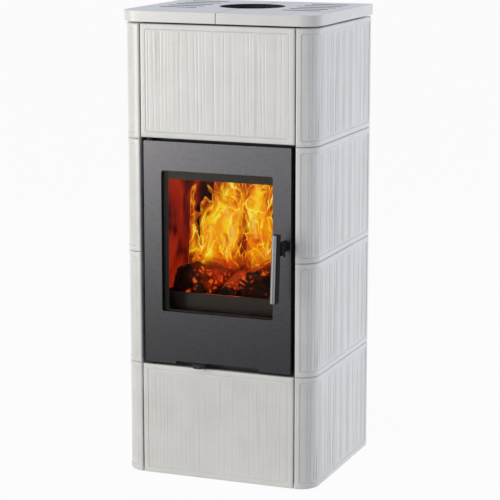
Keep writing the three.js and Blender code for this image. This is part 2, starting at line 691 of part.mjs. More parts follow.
const ASH_FLOOR_BOTTOM = ASH_FLOOR_TOP - BODY_PLATE;
const LEVER_TOP = ASH_FLOOR_BOTTOM - FIT;
const LEVER_BOTTOM = LEVER_TOP - LEVER_SHEET;
const LEVER_TAB_Z = DOOR_BOTTOM + DOOR_NOTCH_HEIGHT - 1 - LEVER_TAB_THICKNESS;
const SLIDE_FRONT = PLATE_BACK + FIT + RAIL_LEDGE / 2;
const SLIDE_BACK = SLIDE_FRONT + SLIDE_DEPTH;

function slideHoles(z) {
  const y = (SLIDE_FRONT + SLIDE_BACK) / 2;
  let holes = null;
  for (let index = 0; index < SLIDE_HOLES; index += 1) {
    const x = LEVER_REST_X + (index - (SLIDE_HOLES - 1) / 2) * SLIDE_HOLE_PITCH;
    const hole = rodZ([x, y], SLIDE_HOLE_DIAMETER, z, SMALL_SIDES);
    holes = holes ? holes.add(hole) : hole;
  }
  return holes;
}

function airLever() {
  const sheetZ = [LEVER_BOTTOM, LEVER_TOP];
  const x = LEVER_REST_X;
  const neckX = grown([x, x], LEVER_NECK_WIDTH / 2);
  const dropY = [DOOR_BACK + FIT + 2, DOOR_BACK + FIT + 2 + LEVER_SHEET];
  const plate = block(grown([x, x], SLIDE_WIDTH / 2), [SLIDE_FRONT, SLIDE_BACK], sheetZ);
  const neck = block(neckX, [dropY[0], SLIDE_FRONT + CUT], sheetZ);
  const drop = block(neckX, dropY, [LEVER_TAB_Z, LEVER_TOP]);
  const root = dropY[1];
  const tip = FRONT_FACE - LEVER_TAB_REACH;
  const tab = polygon([
    [x - LEVER_TAB_WIDTH / 2, root],
    [x - LEVER_TAB_WIDTH / 2, FRONT_FACE],
    [x - LEVER_TIP_WIDTH / 2, tip + 4],
    [x - LEVER_TIP_WIDTH / 2 + 4, tip],
    [x + LEVER_TIP_WIDTH / 2 - 4, tip],
    [x + LEVER_TIP_WIDTH / 2, tip + 4],
    [x + LEVER_TAB_WIDTH / 2, FRONT_FACE],
    [x + LEVER_TAB_WIDTH / 2, root],
  ]);
  const grip = prismZ(tab, [LEVER_TAB_Z, LEVER_TAB_Z + LEVER_TAB_THICKNESS]);
  return plate.subtract(slideHoles(grown(sheetZ, CUT))).add(neck).add(drop).add(grip);
}

function airControl() {
  const group = new THREE.Group();
  const floorZ = [ASH_FLOOR_BOTTOM, ASH_FLOOR_TOP];
  const floor = block(centred(2 * BODY_INSIDE - 2 * FIT), [BODY_FRONT, BODY_INNER_BACK - 2 * FIT], floorZ);
  group.add(piece('ash_floor', floor.subtract(slideHoles(grown(floorZ, CUT))), BLACK_STEEL));
  group.add(piece('air_lever', airLever(), BLACK_STEEL));

  const shelfX = centred(2 * BODY_INSIDE - 2 * FIT);
  const shelfZ = [LEVER_BOTTOM - FIT - RAIL_SHEET, LEVER_BOTTOM - FIT];
  const shelf = block(shelfX, [BODY_FRONT, BODY_FRONT + RAIL_LEDGE], shelfZ);
  group.add(piece('slide_rail_front', shelf, BLACK_STEEL));
  const back = SLIDE_BACK + FIT;
  const lip = block(shelfX, [SLIDE_BACK - RAIL_LEDGE / 2, back + RAIL_SHEET], shelfZ);
  const web = block(shelfX, [back, back + RAIL_SHEET], [shelfZ[0], ASH_FLOOR_BOTTOM - FIT]);
  group.add(piece('slide_rail_back', lip.add(web), BLACK_STEEL));
  return group;
}

// ---------- Door ----------

function doorPanel() {
  const x = centred(DOOR_WIDTH);
  const z = [DOOR_BOTTOM, DOOR_TOP];
  const tray = prismY(roundedRectangle(x, z, DOOR_CORNER_RADIUS), [FRONT_FACE, DOOR_BACK]);
  const insideY = [FRONT_FACE + DOOR_FACE_SHEET, DOOR_BACK + CUT];
  const notchX = centred(2 * DOOR_NOTCH_HALF);
  const notchTop = DOOR_BOTTOM + DOOR_NOTCH_HEIGHT;
  const step = block(grown(notchX, DOOR_RIM_SHEET), insideY, [DOOR_BOTTOM - CUT, notchTop + DOOR_RIM_SHEET]);
  const inside = block(grown(x, -DOOR_RIM_SHEET), insideY, grown(z, -DOOR_RIM_SHEET)).subtract(step);
  const notch = block(notchX, [FRONT_FACE - CUT, DOOR_BACK + CUT], [DOOR_BOTTOM - CUT, notchTop]);
  const windowOutline = roundedRectangle(centred(WINDOW_WIDTH), [WINDOW_BOTTOM, WINDOW_TOP], WINDOW_RADIUS);
  const windowCut = prismY(windowOutline, [FRONT_FACE - CUT, FRONT_FACE + DOOR_FACE_SHEET + CUT]);
  const pinHole = HINGE_PIN_DIAMETER + 2 * FIT;
  const pinHoles = rodZ([HINGE_X, FRONT_FACE + HINGE_DEPTH], pinHole, grown(z, CUT), SMALL_SIDES);
  const spindleY = grown([FRONT_FACE, FRONT_FACE + DOOR_FACE_SHEET], CUT);
  const spindleHole = rodY([HANDLE_X, HANDLE_Z], SPINDLE_DIAMETER + 2 * FIT, spindleY, SMALL_SIDES);
  return tray.subtract(inside).subtract(notch).subtract(windowCut).subtract(pinHoles).subtract(spindleHole);
}

function doorGlazing() {
  const group = new THREE.Group();
  const windowX = centred(WINDOW_WIDTH);
  const windowZ = [WINDOW_BOTTOM, WINDOW_TOP];
  const glassY = FRONT_FACE + DOOR_FACE_SHEET + FIT;
  const glassX = grown(windowX, GLASS_OVERLAP);
  const glassZ = grown(windowZ, GLASS_OVERLAP);
  group.add(piece('door_glass', block(glassX, [glassY, glassY + GLASS_THICKNESS], glassZ), CERAMIC_GLASS));

  const frameFront = glassY + GLASS_THICKNESS + FIT;
  const frameBack = frameFront + GLASS_FRAME_SHEET;
  const sealX = grown(centred(MOUTH_WIDTH), MOUTH_FLANGE_WALL / 2 + SEAL_WIDTH / 2);
  const sealZ = grown([MOUTH_BOTTOM, MOUTH_TOP], MOUTH_FLANGE_WALL / 2 + SEAL_WIDTH / 2);
  const frameHole = [grown(windowX, GLASS_FRAME_REVEAL), grown(windowZ, GLASS_FRAME_REVEAL)];
  let frame = frameY(grown(sealX, FIT), grown(sealZ, FIT), ...frameHole, [frameFront, frameBack]);
  const studZ = grown(sealZ, -GLASS_STUD_DIAMETER);
  const studX = grown(sealX, -GLASS_STUD_DIAMETER);
  for (const x of studX) {
    for (const z of studZ) {
      frame = frame.add(rodY([x, z], GLASS_STUD_DIAMETER, [glassY, frameBack], SMALL_SIDES));
    }
  }
  group.add(piece('glass_frame', frame, BLACK_STEEL));

  const sealFront = PLATE_FRONT - MOUTH_FLANGE_DEPTH - FIT - SEAL_DEPTH;
  const sealY = [Math.max(sealFront, frameBack + FIT), PLATE_FRONT - MOUTH_FLANGE_DEPTH - FIT];
  const seal = frameY(sealX, sealZ, grown(sealX, -SEAL_WIDTH), grown(sealZ, -SEAL_WIDTH), sealY);
  group.add(piece('door_seal', seal, SEAL_ROPE));
  return group;
}

function hinge() {
  const group = new THREE.Group();
  const axis = [HINGE_X, FRONT_FACE + HINGE_DEPTH];
  const half = HINGE_TONGUE_WIDTH / 2;
  const root = PLATE_FRONT - FIT;
  const outline = polygon([
    [axis[0] + half, root],
    [axis[0] - half, root],
    ...arc(axis, half, -2 * QUARTER, 0),
  ]);
  const inward = HINGE_PIN_LENGTH - HINGE_TONGUE;
  const places = {
    top: { tongue: [DOOR_TOP + FIT, DOOR_TOP + FIT + HINGE_TONGUE], end: -inward },
    bottom: { tongue: [DOOR_BOTTOM - FIT - HINGE_TONGUE, DOOR_BOTTOM - FIT], end: inward },
  };
  for (const [name, place] of Object.entries(places)) {
    const hole = rodZ(axis, HINGE_PIN_DIAMETER + 2 * FIT, grown(place.tongue, CUT), SMALL_SIDES);
    const pinZ = place.end < 0
      ? [place.tongue[0] + place.end, place.tongue[1]]
      : [place.tongue[0], place.tongue[1] + place.end];
    group.add(piece(`hinge_tongue_${name}`, prismZ(outline, place.tongue).subtract(hole), BLACK_STEEL));
    group.add(piece(`hinge_pin_${name}`, rodZ(axis, HINGE_PIN_DIAMETER, pinZ, SMALL_SIDES), BRIGHT_STEEL));
  }
  return group;
}

// ---------- Handle and latch, around the spindle ----------

const CAM_FRONT = -DOOR_DEPTH - 1; // measured forward of the door's face, as all of the handle is
const CAM_BACK = CAM_FRONT - CAM_THICKNESS;

// Side outline of the neck: Y forward of the door is negative, Z from the spindle.
function neckOutline() {
  const root = -(BOSS_LENGTH + 2 * FIT);
  const stepFrom = -NECK_STEP;
  const stepTo = -(NECK_STEP + NECK_RAMP);
  const low = NECK_ROOT_HEIGHT / 2;
  const high = NECK_HEAD_HEIGHT / 2;
  const lean = Math.tan(HANDLE_LEAN);
  return polygon([
    [root, -low],
    [root, low],
    [stepFrom, low],
    [stepTo, high],
    [-HANDLE_STAND_OFF + high * lean, high],
    [-HANDLE_STAND_OFF - high * lean, -high],
    [stepTo, -high],
    [stepFrom, -low],
  ]);
}

function grip() {
  const group = new THREE.Group();
  const x = centred(GRIP_WIDTH);
  const z = [-GRIP_BELOW, GRIP_ABOVE];
  const bodyY = [-FIT - GRIP_BODY_DEPTH, -FIT];
  const bodyPlan = roundedRectangle(x, bodyY, GRIP_EDGE_ROUND);
  group.add(piece('handle_grip_body', prismZ(bodyPlan, z), BLACK_STEEL));

  const stripBack = bodyY[0] - FIT;
  const nose = GRIP_WIDTH / 2;
  const stripPlan = polygon([
    [nose, stripBack],
    [-nose, stripBack],
    ...arc([0, stripBack - GRIP_STRIP_DEPTH + nose], nose, -2 * QUARTER, 0),
  ]);
  group.add(piece('handle_grip_strip', prismZ(stripPlan, z), BRIGHT_STEEL));
  group.position.y = -HANDLE_STAND_OFF;
  group.rotation.x = -HANDLE_LEAN;
  return group;
}

function handle() {
  const group = new THREE.Group();
  const bore = (y) => rodY([0, 0], SPINDLE_DIAMETER + 2 * FIT, y, SMALL_SIDES);
  const bossY = [-BOSS_LENGTH - FIT, -FIT];
  const boss = rodY([0, 0], BOSS_DIAMETER, bossY).subtract(bore(grown(bossY, CUT)));
  group.add(piece('handle_boss', boss, BLACK_STEEL));

  const spindleEnd = -(NECK_STEP + NECK_RAMP);
  const spindle = rodY([0, 0], SPINDLE_DIAMETER, [spindleEnd + FIT, -CAM_BACK], SMALL_SIDES);
  group.add(piece('handle_spindle', spindle, BRIGHT_STEEL));

  const neck = prismX(neckOutline(), centred(NECK_WIDTH));
  group.add(piece('handle_neck', neck.subtract(bore([spindleEnd, 0])), BLACK_STEEL));
  group.add(grip());

  const pinTop = -NECK_ROOT_HEIGHT / 2 - FIT;
  const pin = rodZ([PIN_OFFSET_X, -PIN_STAND_OFF], PIN_DIAMETER, [pinTop - PIN_LENGTH, pinTop], SMALL_SIDES);
  group.add(piece('handle_pin', pin, BLACK_STEEL));

  const camY = [-CAM_FRONT, -CAM_BACK];
  const hub = rodY([0, 0], CAM_HUB, camY, SMALL_SIDES);
  const tongue = block([0, CAM_REACH], camY, centred(CAM_TONGUE_WIDTH));
  group.add(piece('latch_cam', hub.add(tongue).subtract(bore(grown(camY, CUT))), BLACK_STEEL));
  group.position.set(HANDLE_X, FRONT_FACE, HANDLE_Z);
  return group;
}

function latchKeeper() {
  const camSweep = Math.hypot(CAM_REACH, CAM_TONGUE_WIDTH / 2);
  const start = HANDLE_X + camSweep + FIT;
  const back = PLATE_FRONT - FIT;
  const z = grown([HANDLE_Z, HANDLE_Z], KEEPER_HEIGHT / 2);
  const keeper = block([start, start + KEEPER_THICKNESS], [back - KEEPER_DEPTH, back], z);
  return piece('latch_keeper', keeper, BLACK_STEEL);
}

// ---------- The whole stove ----------

// The origin is the middle of the whole outline in plan, so the handle's reach moves the stove back.
const GRIP_REACH = GRIP_BODY_DEPTH + GRIP_STRIP_DEPTH + 2 * FIT;
const GRIP_SWING = GRIP_REACH * Math.cos(HANDLE_LEAN) + GRIP_BELOW * Math.sin(HANDLE_LEAN);
const REACH_FORWARD = FRONT_FACE - HANDLE_STAND_OFF - GRIP_SWING;
const REACH_BACK = BACK_EDGE + SLAB_OVERHANG;

const stove = new THREE.Group();
stove.add(tileCasing(), topSlabs(), base(), body(), rearCasing());
stove.add(firebox(), hearthFittings(), airControl());
stove.add(piece('door_panel', doorPanel(), ANTHRACITE), doorGlazing(), hinge());
stove.add(handle(), latchKeeper());
stove.position.y = -(REACH_FORWARD + REACH_BACK) / 2;

export default stove;
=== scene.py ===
# Looks of the tiled stove: glazed fluted tiles, a painted steel door with its window, the handle,
# the air lever, the lined firebox with its burning logs, the back, a pale floor and soft lights.
import json
import math
from functools import partial

import bmesh
import bpy
from mathutils import Matrix, Vector, noise


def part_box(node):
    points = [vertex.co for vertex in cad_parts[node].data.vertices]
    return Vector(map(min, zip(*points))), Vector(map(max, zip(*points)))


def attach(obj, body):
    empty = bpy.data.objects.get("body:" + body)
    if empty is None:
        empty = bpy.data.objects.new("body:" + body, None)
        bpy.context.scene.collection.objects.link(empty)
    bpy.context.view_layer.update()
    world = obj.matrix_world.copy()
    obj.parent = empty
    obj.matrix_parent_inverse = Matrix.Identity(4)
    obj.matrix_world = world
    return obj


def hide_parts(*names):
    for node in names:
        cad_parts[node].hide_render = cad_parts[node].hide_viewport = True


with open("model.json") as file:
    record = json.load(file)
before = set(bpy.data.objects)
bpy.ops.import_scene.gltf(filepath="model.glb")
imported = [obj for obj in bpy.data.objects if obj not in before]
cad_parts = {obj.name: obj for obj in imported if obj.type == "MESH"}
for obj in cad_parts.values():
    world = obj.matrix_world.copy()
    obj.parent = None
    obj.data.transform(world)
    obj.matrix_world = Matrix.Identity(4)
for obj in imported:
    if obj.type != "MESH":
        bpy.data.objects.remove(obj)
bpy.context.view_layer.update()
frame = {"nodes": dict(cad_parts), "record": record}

NODES = frame["nodes"]
MM = 0.001  # the frame is in metres, the sizes below are in millimetres
WHITE = (1.0, 1.0, 1.0, 1.0)


# ---------- Colours, nodes and pieces ----------


def linear(hex_colour):
    """An sRGB hex colour as Blender's linear colour with full opacity."""
    channels = [int(hex_colour[i : i + 2], 16) / 255 for i in (1, 3, 5)]
    curve = [c / 12.92 if c <= 0.04045 else ((c + 0.055) / 1.055) ** 2.4 for c in channels]
    return (*curve, 1.0)


def add(tree, kind, inputs=None, **settings):
    """Adds one node. Settings are its properties, and inputs are its sockets' values or links."""
    node = tree.nodes.new(kind)
    for name, value in settings.items():
        setattr(node, name, value)
    for socket, value in (inputs or {}).items():
        if isinstance(value, bpy.types.NodeSocket):
            tree.links.new(value, node.inputs[socket])
        else:
            node.inputs[socket].default_value = value
    return node


def shade(tree, kind, inputs=None, **settings):
    """The outputs of a new shader node."""
    return add(tree, "ShaderNode" + kind, inputs, **settings).outputs


def maths(tree, operation, *values):
    """What one Math node makes of the values."""
    return shade(tree, "Math", dict(enumerate(values)), operation=operation)[0]


def sums(tree):
    """The usual sums in that tree: times, plus, minus, times and plus, larger, smaller, size."""
    kinds = ("MULTIPLY", "ADD", "SUBTRACT", "MULTIPLY_ADD", "MAXIMUM", "MINIMUM", "ABSOLUTE")
    return [partial(maths, tree, kind) for kind in kinds]


def ranged(tree, value, before, after, kind="LINEAR"):
    """A value brought from one range to another and held within it."""
    labels = ("From Min", "From Max", "To Min", "To Max")
    inputs = dict(zip(("Value", *labels), (value, *before, *after)))
    return shade(tree, "MapRange", inputs, interpolation_type=kind)[0]


def clamped(tree, value, most=1.0):
    """A value held between nought and the most."""
    return shade(tree, "Clamp", {"Value": value, "Min": 0.0, "Max": most})[0]


def clouds(tree, place, scale, detail):
    """Cloudy noise at a place: its value, and a colour of three such values."""
    return shade(tree, "TexNoise", {"Vector": place, "Scale": scale, "Detail": detail})


def moved(tree, vector, factors, place):
    """A place moved by a vector times three factors."""
    inputs = {0: vector, 1: factors, 2: place}
    return shade(tree, "VectorMath", inputs, operation="MULTIPLY_ADD")[0]


def bumped(tree, height, lift, strength=1.0, **normal):
    """The normal of a surface that rises by lift where the height is one."""
    inputs = {"Height": height, "Strength": strength, "Distance": lift, **normal}
    return shade(tree, "Bump", inputs)[0]


def mixed_colour(tree, share, first, second):
    """The first colour, with a share of the second."""
    return shade(tree, "Mix", {0: share, 6: first, 7: second}, data_type="RGBA")[2]


def glowing(tree, colour, strength):
    """Light of a colour, given off by a surface."""
    return shade(tree, "Emission", {"Color": colour, "Strength": strength})[0]


def mixed_shader(tree, share, first, second):
    """The first shader, with a share of the second."""
    return shade(tree, "MixShader", {0: share, 1: first, 2: second})[0]


def at_object(tree):
    """The place on the piece, in its own coordinates."""
    return shade(tree, "TexCoord")["Object"]


def blank_material(name):
    """A material with an empty tree, and that tree."""
    material = bpy.data.materials.new(name)
    material.use_nodes = True
    material.node_tree.nodes.clear()
    return material, material.node_tree


def ended(material, shader, glows=False):
    """Ends a material with its shader. One that glows isn't sampled as a lamp, which keeps noise low."""
    add(material.node_tree, "ShaderNodeOutputMaterial", {"Surface": shader})
    if glows:
        material.cycles.emission_sampling = "NONE"
    return material


def graded(tree, factor, stops):
    """A colour ramp over a factor, from (place, hex colour) stops."""
    node = add(tree, "ShaderNodeValToRGB", {0: factor})
    ramp = node.color_ramp
    while len(ramp.elements) < len(stops):
        ramp.elements.new(0.5)
    for element, (place, colour) in zip(ramp.elements, stops):
        element.position = place
        element.color = linear(colour)
    return node.outputs[0]


def finish(name, stops, patch, rough, grit, lift, stretch=(1, 1, 1), metallic=0.0, specular=0.5):
    """A surface finish on Object coordinates.

    stops are the colours from its darkest to its lightest patches, patch and grit are the sizes of
    its colour patches and of its surface grain in mm, lift is the grain's height in mm, rough is the
    lowest and highest roughness, and stretch pulls both patterns along an axis.
    """
    material, tree = blank_material(name)
    pulled = shade(tree, "Mapping", {"Vector": at_object(tree), "Scale": stretch})[0]
    wide = clouds(tree, pulled, 1 / (patch * MM), 5)[0]
    fine = clouds(tree, pulled, 1 / (grit * MM), 3)[0]
    look = {
        "Base Color": graded(tree, wide, stops),
        "Roughness": ranged(tree, wide, (0.3, 0.7), rough),
        "Normal": bumped(tree, fine, lift * MM),
        "Metallic": metallic,
        "Specular IOR Level": specular,
    }
    return ended(material, shade(tree, "BsdfPrincipled", look)[0])


def linked(name, mesh):
    """A new object with that mesh."""
    piece = bpy.data.objects.new(name, mesh)
    bpy.context.scene.collection.objects.link(piece)
    return piece


def made(name, points, faces):
    """A new smooth object from points in mm and faces."""
    mesh = bpy.data.meshes.new(name)
    mesh.from_pydata([Vector(p) * MM for p in points], [], faces)
    mesh.validate()
    mesh.polygons.foreach_set("use_smooth", [True] * len(mesh.polygons))
    return linked(name, mesh)


def loft(rings, sides, first=0, closed=False, turned=False):
    """Quads between rings of points that follow each other, from the point with the number first."""
    faces = []
    for i in range(rings if closed else rings - 1):
        a, b = first + i * sides, first + (i + 1) % rings * sides
        for j in range(sides):
            k = (j + 1) % sides
            faces.append((a + j, a + k, b + k, b + j) if turned else (a + j, b + j, b + k, a + k))
    return faces


def geometry_tree(name, numbers, material, whole_numbers=()):
    """A geometry nodes tree with named inputs, and the outputs of its input node."""
    tree = bpy.data.node_groups.new(name, "GeometryNodeTree")
    kinds = {"Geometry": "Geometry", **dict.fromkeys(numbers, "Float")}
    kinds.update({**dict.fromkeys(whole_numbers, "Int"), material: "Material"})
    for label, kind in kinds.items():
        tree.interface.new_socket(label, in_out="INPUT", socket_type="NodeSocket" + kind)
    tree.interface.new_socket("Geometry", in_out="OUTPUT", socket_type="NodeSocketGeometry")
    return tree, add(tree, "NodeGroupInput").outputs


def end_tree(tree, geometry, material):
    """Ends a geometry nodes tree: one plain mesh with its material."""
    whole = add(tree, "GeometryNodeRealizeInstances", {0: geometry}).outputs[0]
    clad = add(tree, "GeometryNodeSetMaterial", {"Geometry": whole, "Material": material}).outputs[0]
    add(tree, "NodeGroupOutput", {0: clad})


def flattened(piece):
    """Turns a piece's live modifiers into its mesh."""
    graph = bpy.context.evaluated_depsgraph_get()
    mesh = bpy.data.meshes.new_from_object(piece.evaluated_get(graph))
    mesh.name = piece.name
    piece.modifiers.clear()
    piece.data = mesh
    return piece


def shaped(piece, tree, values):
    """Runs a geometry tree on a piece with those named inputs and keeps the plain mesh."""
    modifier = piece.modifiers.new("shape", "NODES")
    modifier.node_group = tree
    sockets = {s.name: s.identifier for s in tree.interface.items_tree if s.in_out == "INPUT"}
    for label, value in values.items():
        modifier[sockets[label]] = value
    return flattened(piece)


def dressed(piece, material, body, nodes=()):
    """Gives a piece its material and its body, and hides the CAD nodes that it stands for."""
    if material:
        piece.data.materials.clear()
        piece.data.materials.append(material)
    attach(piece, body)
    if nodes:
        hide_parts(*nodes)


def box_mm(node):
    """Lowest and highest corner of a CAD node in mm."""
    low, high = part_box(node)
    return Vector(low) / MM, Vector(high) / MM


# ---------- Glazed tiles ----------

BORDER = 12.5  # plain raised border round a tile's fluted panel
EDGE_ROUND = 3.2  # rounding of a tile's outer edges
CORNER = 46.0  # the side tiles' rounded front corner
JOINT = 1.6  # the front tiles are this much narrower at each side, so that their joints show
STEP = 0.85  # between the columns of a fluted face
ROW_STEP = 11.0  # between its rows
SIDE_THICK = 28.0  # the side tiles' wall
LIP_DEPTH = 10.0  # from the face to the rebate behind the lowest tiles' foot
# How deep a tile's grooves are, how far apart, and how far the panel lies below its border.
SIDE_FLUTES, TOP_FLUTES, BOTTOM_FLUTES = (1.7, 14.0, 1.1), (0.42, 12.0, 0.45), (0.42, 8.6, 0.45)


def stations(length, coarse):
    """Places along one edge of a tile: dense in its round edges and at its border's step."""
    edge = [EDGE_ROUND * (1 - math.cos(k * math.pi / 10)) for k in range(6)]
    edge += [8.0] + [BORDER + k * 0.6 for k in (-2.5, -1.5, -0.5, 0.5, 1.5, 2.5)]
    edge += [BORDER + 3.2, BORDER + 5, BORDER + 7]
    middle = length - 2 * edge[-1]
    count = max(2, round(middle / coarse))
    inner = [edge[-1] + middle * k / count for k in range(1, count)]
    return edge + inner + [length - e for e in reversed(edge)]


def tile_blank(name, path, run, height, floor, thick, lip=None):
    """A smooth closed tile as a loft along its run, with the attributes that the relief needs.

    path gives a plan point and the outward direction at a place along the run and a depth.
    lip is the depth and height of the rebate behind the lowest tiles' foot.
    """
    columns, rows = stations(run, STEP), stations(height, ROW_STEP)
    corners = []

    def sunk(place, length):
        near = max(0.0, EDGE_ROUND - min(place, length - place)) / EDGE_ROUND
        return near * near

    inner = [(thick, height)]
    inner += [(thick, lip[1]), (lip[0], lip[1]), (lip[0], 0.0)] if lip else [(thick, 0.0)]
    ring = len(rows) + len(inner)
    for u in columns:
        section = []
        for v in rows:
            a, b = sunk(u, run), sunk(v, height)
            section.append((EDGE_ROUND * (1 - math.sqrt(max(0.0, 1 - (a + b - a * b)))), v, 1.0))
        section += [(depth, v, 0.0) for depth, v in inner]
        for depth, v, is_face in section:
            (x, y), out = path(u, depth)
            corners.append(((x, y, floor + v), u, v, is_face, (*out, 0.0)))
    points, along, up, face, outward = zip(*corners)
    faces = loft(len(columns), ring)
    last = (len(columns) - 1) * ring
    faces.append(tuple(range(ring)))
    faces.append(tuple(last + j for j in reversed(range(ring))))
    tile = made(name, points, faces)
    mesh = tile.data
    for label, values in (("along", along), ("up", up), ("face", face)):
        mesh.attributes.new(label, "FLOAT", "POINT").data.foreach_set("value", values)
    flat = [c for vector in outward for c in vector]
    mesh.attributes.new("outward", "FLOAT_VECTOR", "POINT").data.foreach_set("vector", flat)
    return tile


def relief_tree():
    """Geometry nodes that press a panel of irregular upright flutes into a tile blank."""
    numbers = ("Run", "Height", "Border", "Corner", "Recess", "Flute pitch", "Flute height", "Seed")
    tree, given = geometry_tree("fluted_panel", numbers, "Glaze")
    worked = partial(maths, tree)
    times, plus, minus, times_plus, larger, smaller, size_of = sums(tree)

    def stored(label, kind="FLOAT"):
        node = add(tree, "GeometryNodeInputNamedAttribute", {"Name": label}, data_type=kind)
        return node.outputs["Attribute"]

    def uneven(x, x_scale, y, y_scale, detail):
        parts = {0: times(x, x_scale), 1: times(y, y_scale), 2: given["Seed"]}
        return clouds(tree, shade(tree, "CombineXYZ", parts)[0], 1.0, detail)[0]

    along, up, face = stored("along"), stored("up"), stored("face")
    # Distance to the panel's rounded outline, negative inside it.
    reach = []
    for place, length in ((along, given["Run"]), (up, given["Height"])):
        half = times(length, 0.5)
        from_middle = size_of(minus(place, half))
        inset = minus(minus(half, given["Border"]), given["Corner"])
        reach.append(minus(from_middle, inset))
    outside = [larger(value, 0.0) for value in reach]
    span = worked("SQRT", plus(*[times(value, value) for value in outside]))
    inside = smaller(larger(*reach), 0.0)
    distance = minus(plus(span, inside), given["Corner"])
    panel = ranged(tree, distance, (0.8, -0.8), (0.0, 1.0), "SMOOTHSTEP")
    fade = ranged(tree, distance, (-0.8, -9.0), (0.0, 1.0), "SMOOTHSTEP")
    # A narrow groove runs round the panel.
    off_line = worked("DIVIDE", size_of(plus(distance, 0.7)), 1.5)
    line = times(larger(minus(1.0, off_line), 0.0), face)
    # Flat reeds of uneven width, parted by narrow grooves that come and go along their height.
    # Their count runs on with the drift, and a groove lies where it passes a whole number.
    drift = uneven(along, 0.028, up, 0.0006, 1.0)
    count = plus(worked("DIVIDE", along, given["Flute pitch"]), times(drift, 6.0))
    across = size_of(times_plus(worked("FRACT", count), 2.0, -1.0))
    narrow = worked("POWER", across, 4.5)
    strength = uneven(worked("ROUND", count), 0.83, up, 0.006, 1.0)
    groove = times(narrow, ranged(tree, strength, (0.3, 0.66), (0.25, 1.0)))
    crown = times(times(across, across), 0.22)
    ripple = uneven(along, 0.3, up, 0.003, 0.0)
    cut = plus(groove, plus(crown, times(ripple, 0.14)))
    left = clamped(tree, times_plus(cut, times(fade, -1.0), 1.0))
    depth = minus(given["Recess"], times(left, given["Flute height"]))
    level = times(times(depth, panel), face)
    sunk = times_plus(line, 0.7, level)
    # How far each point lies in a groove or in the groove round the panel. There the glaze is painted
    # darker, partly as pooled glaze and partly as painted shade.
    groove_shade_and_pool = larger(times(times(groove, fade), face), line)
    inputs = {0: stored("outward", "FLOAT_VECTOR"), "Scale": times(sunk, -MM)}
    offset = shade(tree, "VectorMath", inputs, operation="SCALE")[0]
    pressed = add(tree, "GeometryNodeSetPosition", {"Geometry": given["Geometry"], "Offset": offset})
    inputs = {"Geometry": pressed.outputs[0], "Name": "groove_shade_and_pool", "Value": groove_shade_and_pool}
    stored_groove_shade = add(tree, "GeometryNodeStoreNamedAttribute", inputs, data_type="FLOAT", domain="POINT")
    end_tree(tree, stored_groove_shade.outputs[0], given["Glaze"])
    return tree


def glaze_material():
    """Off-white glazed stoneware: a clear gloss over a pale body, darker grey in its grooves, partly where
    the glaze pools and partly painted shade.
    """
    material, tree = blank_material("off_white_glazed_stoneware")
    place = at_object(tree)
    cloud = clouds(tree, place, 1 / (70 * MM), 4)[0]
    body = graded(tree, cloud, [(0.3, "#dcdbd5"), (0.7, "#e3e2dd")])
    # Darker grey in the grooves: partly pooled glaze, partly painted shade.
    groove_shade_and_pool = shade(tree, "Attribute", attribute_name="groove_shade_and_pool")["Fac"]
    share = maths(tree, "MULTIPLY", maths(tree, "POWER", groove_shade_and_pool, 1.5), 0.42)
    # A fired glaze is never quite flat: slow waves of a few centimetres and a faint orange peel.
    waves = bumped(tree, clouds(tree, place, 1 / (22 * MM), 2)[0], 0.07 * MM)
    peel = clouds(tree, place, 1 / (4 * MM), 2)[0]
    look = {
        "Base Color": mixed_colour(tree, share, body, linear("#a9aaab")),
        "Roughness": ranged(tree, cloud, (0.3, 0.7), (0.28, 0.36)),
        "Normal": bumped(tree, peel, 0.02 * MM, Normal=waves),
        "IOR": 1.52,
        "Coat Weight": 0.22,
        "Coat Roughness": 0.12,
    }
    return ended(material, shade(tree, "BsdfPrincipled", look)[0])


GLAZE = glaze_material()
FLUTES = relief_tree()


def fluted(tile, run, height, seed, node, flutes):
    """Presses the flutes into a tile blank, which then stands for that CAD node."""
    relief, pitch, step = flutes
    values = {
        "Run": run,
        "Height": height,
        "Border": BORDER,
        "Corner": 6.0,
        "Recess": relief + step,
        "Flute pitch": pitch,
        "Flute height": relief,
        "Seed": seed,
        "Glaze": GLAZE,
    }
    shaped(tile, FLUTES, values)
    for label in ("along", "up", "face", "outward"):
        tile.data.attributes.remove(tile.data.attributes[label])
    dressed(tile, None, "stove", [node])


def side_path(low, high, sign):
    """The plan of a side tile, round the front corner and along the side, and its length."""
    side, front = high.x, low.y
    bend = CORNER * math.pi / 2

    def path(u, depth):
        if u < bend:
            angle = u / CORNER - math.pi / 2
            out = (math.cos(angle), math.sin(angle))
            x = side - CORNER + (CORNER - depth) * out[0]
            y = front + CORNER + (CORNER - depth) * out[1]
        else:
            out = (1.0, 0.0)
            x, y = side - depth, front + CORNER + u - bend
        return (sign * x, y), (sign * out[0], out[1])

    return path, bend + high.y - low.y - CORNER


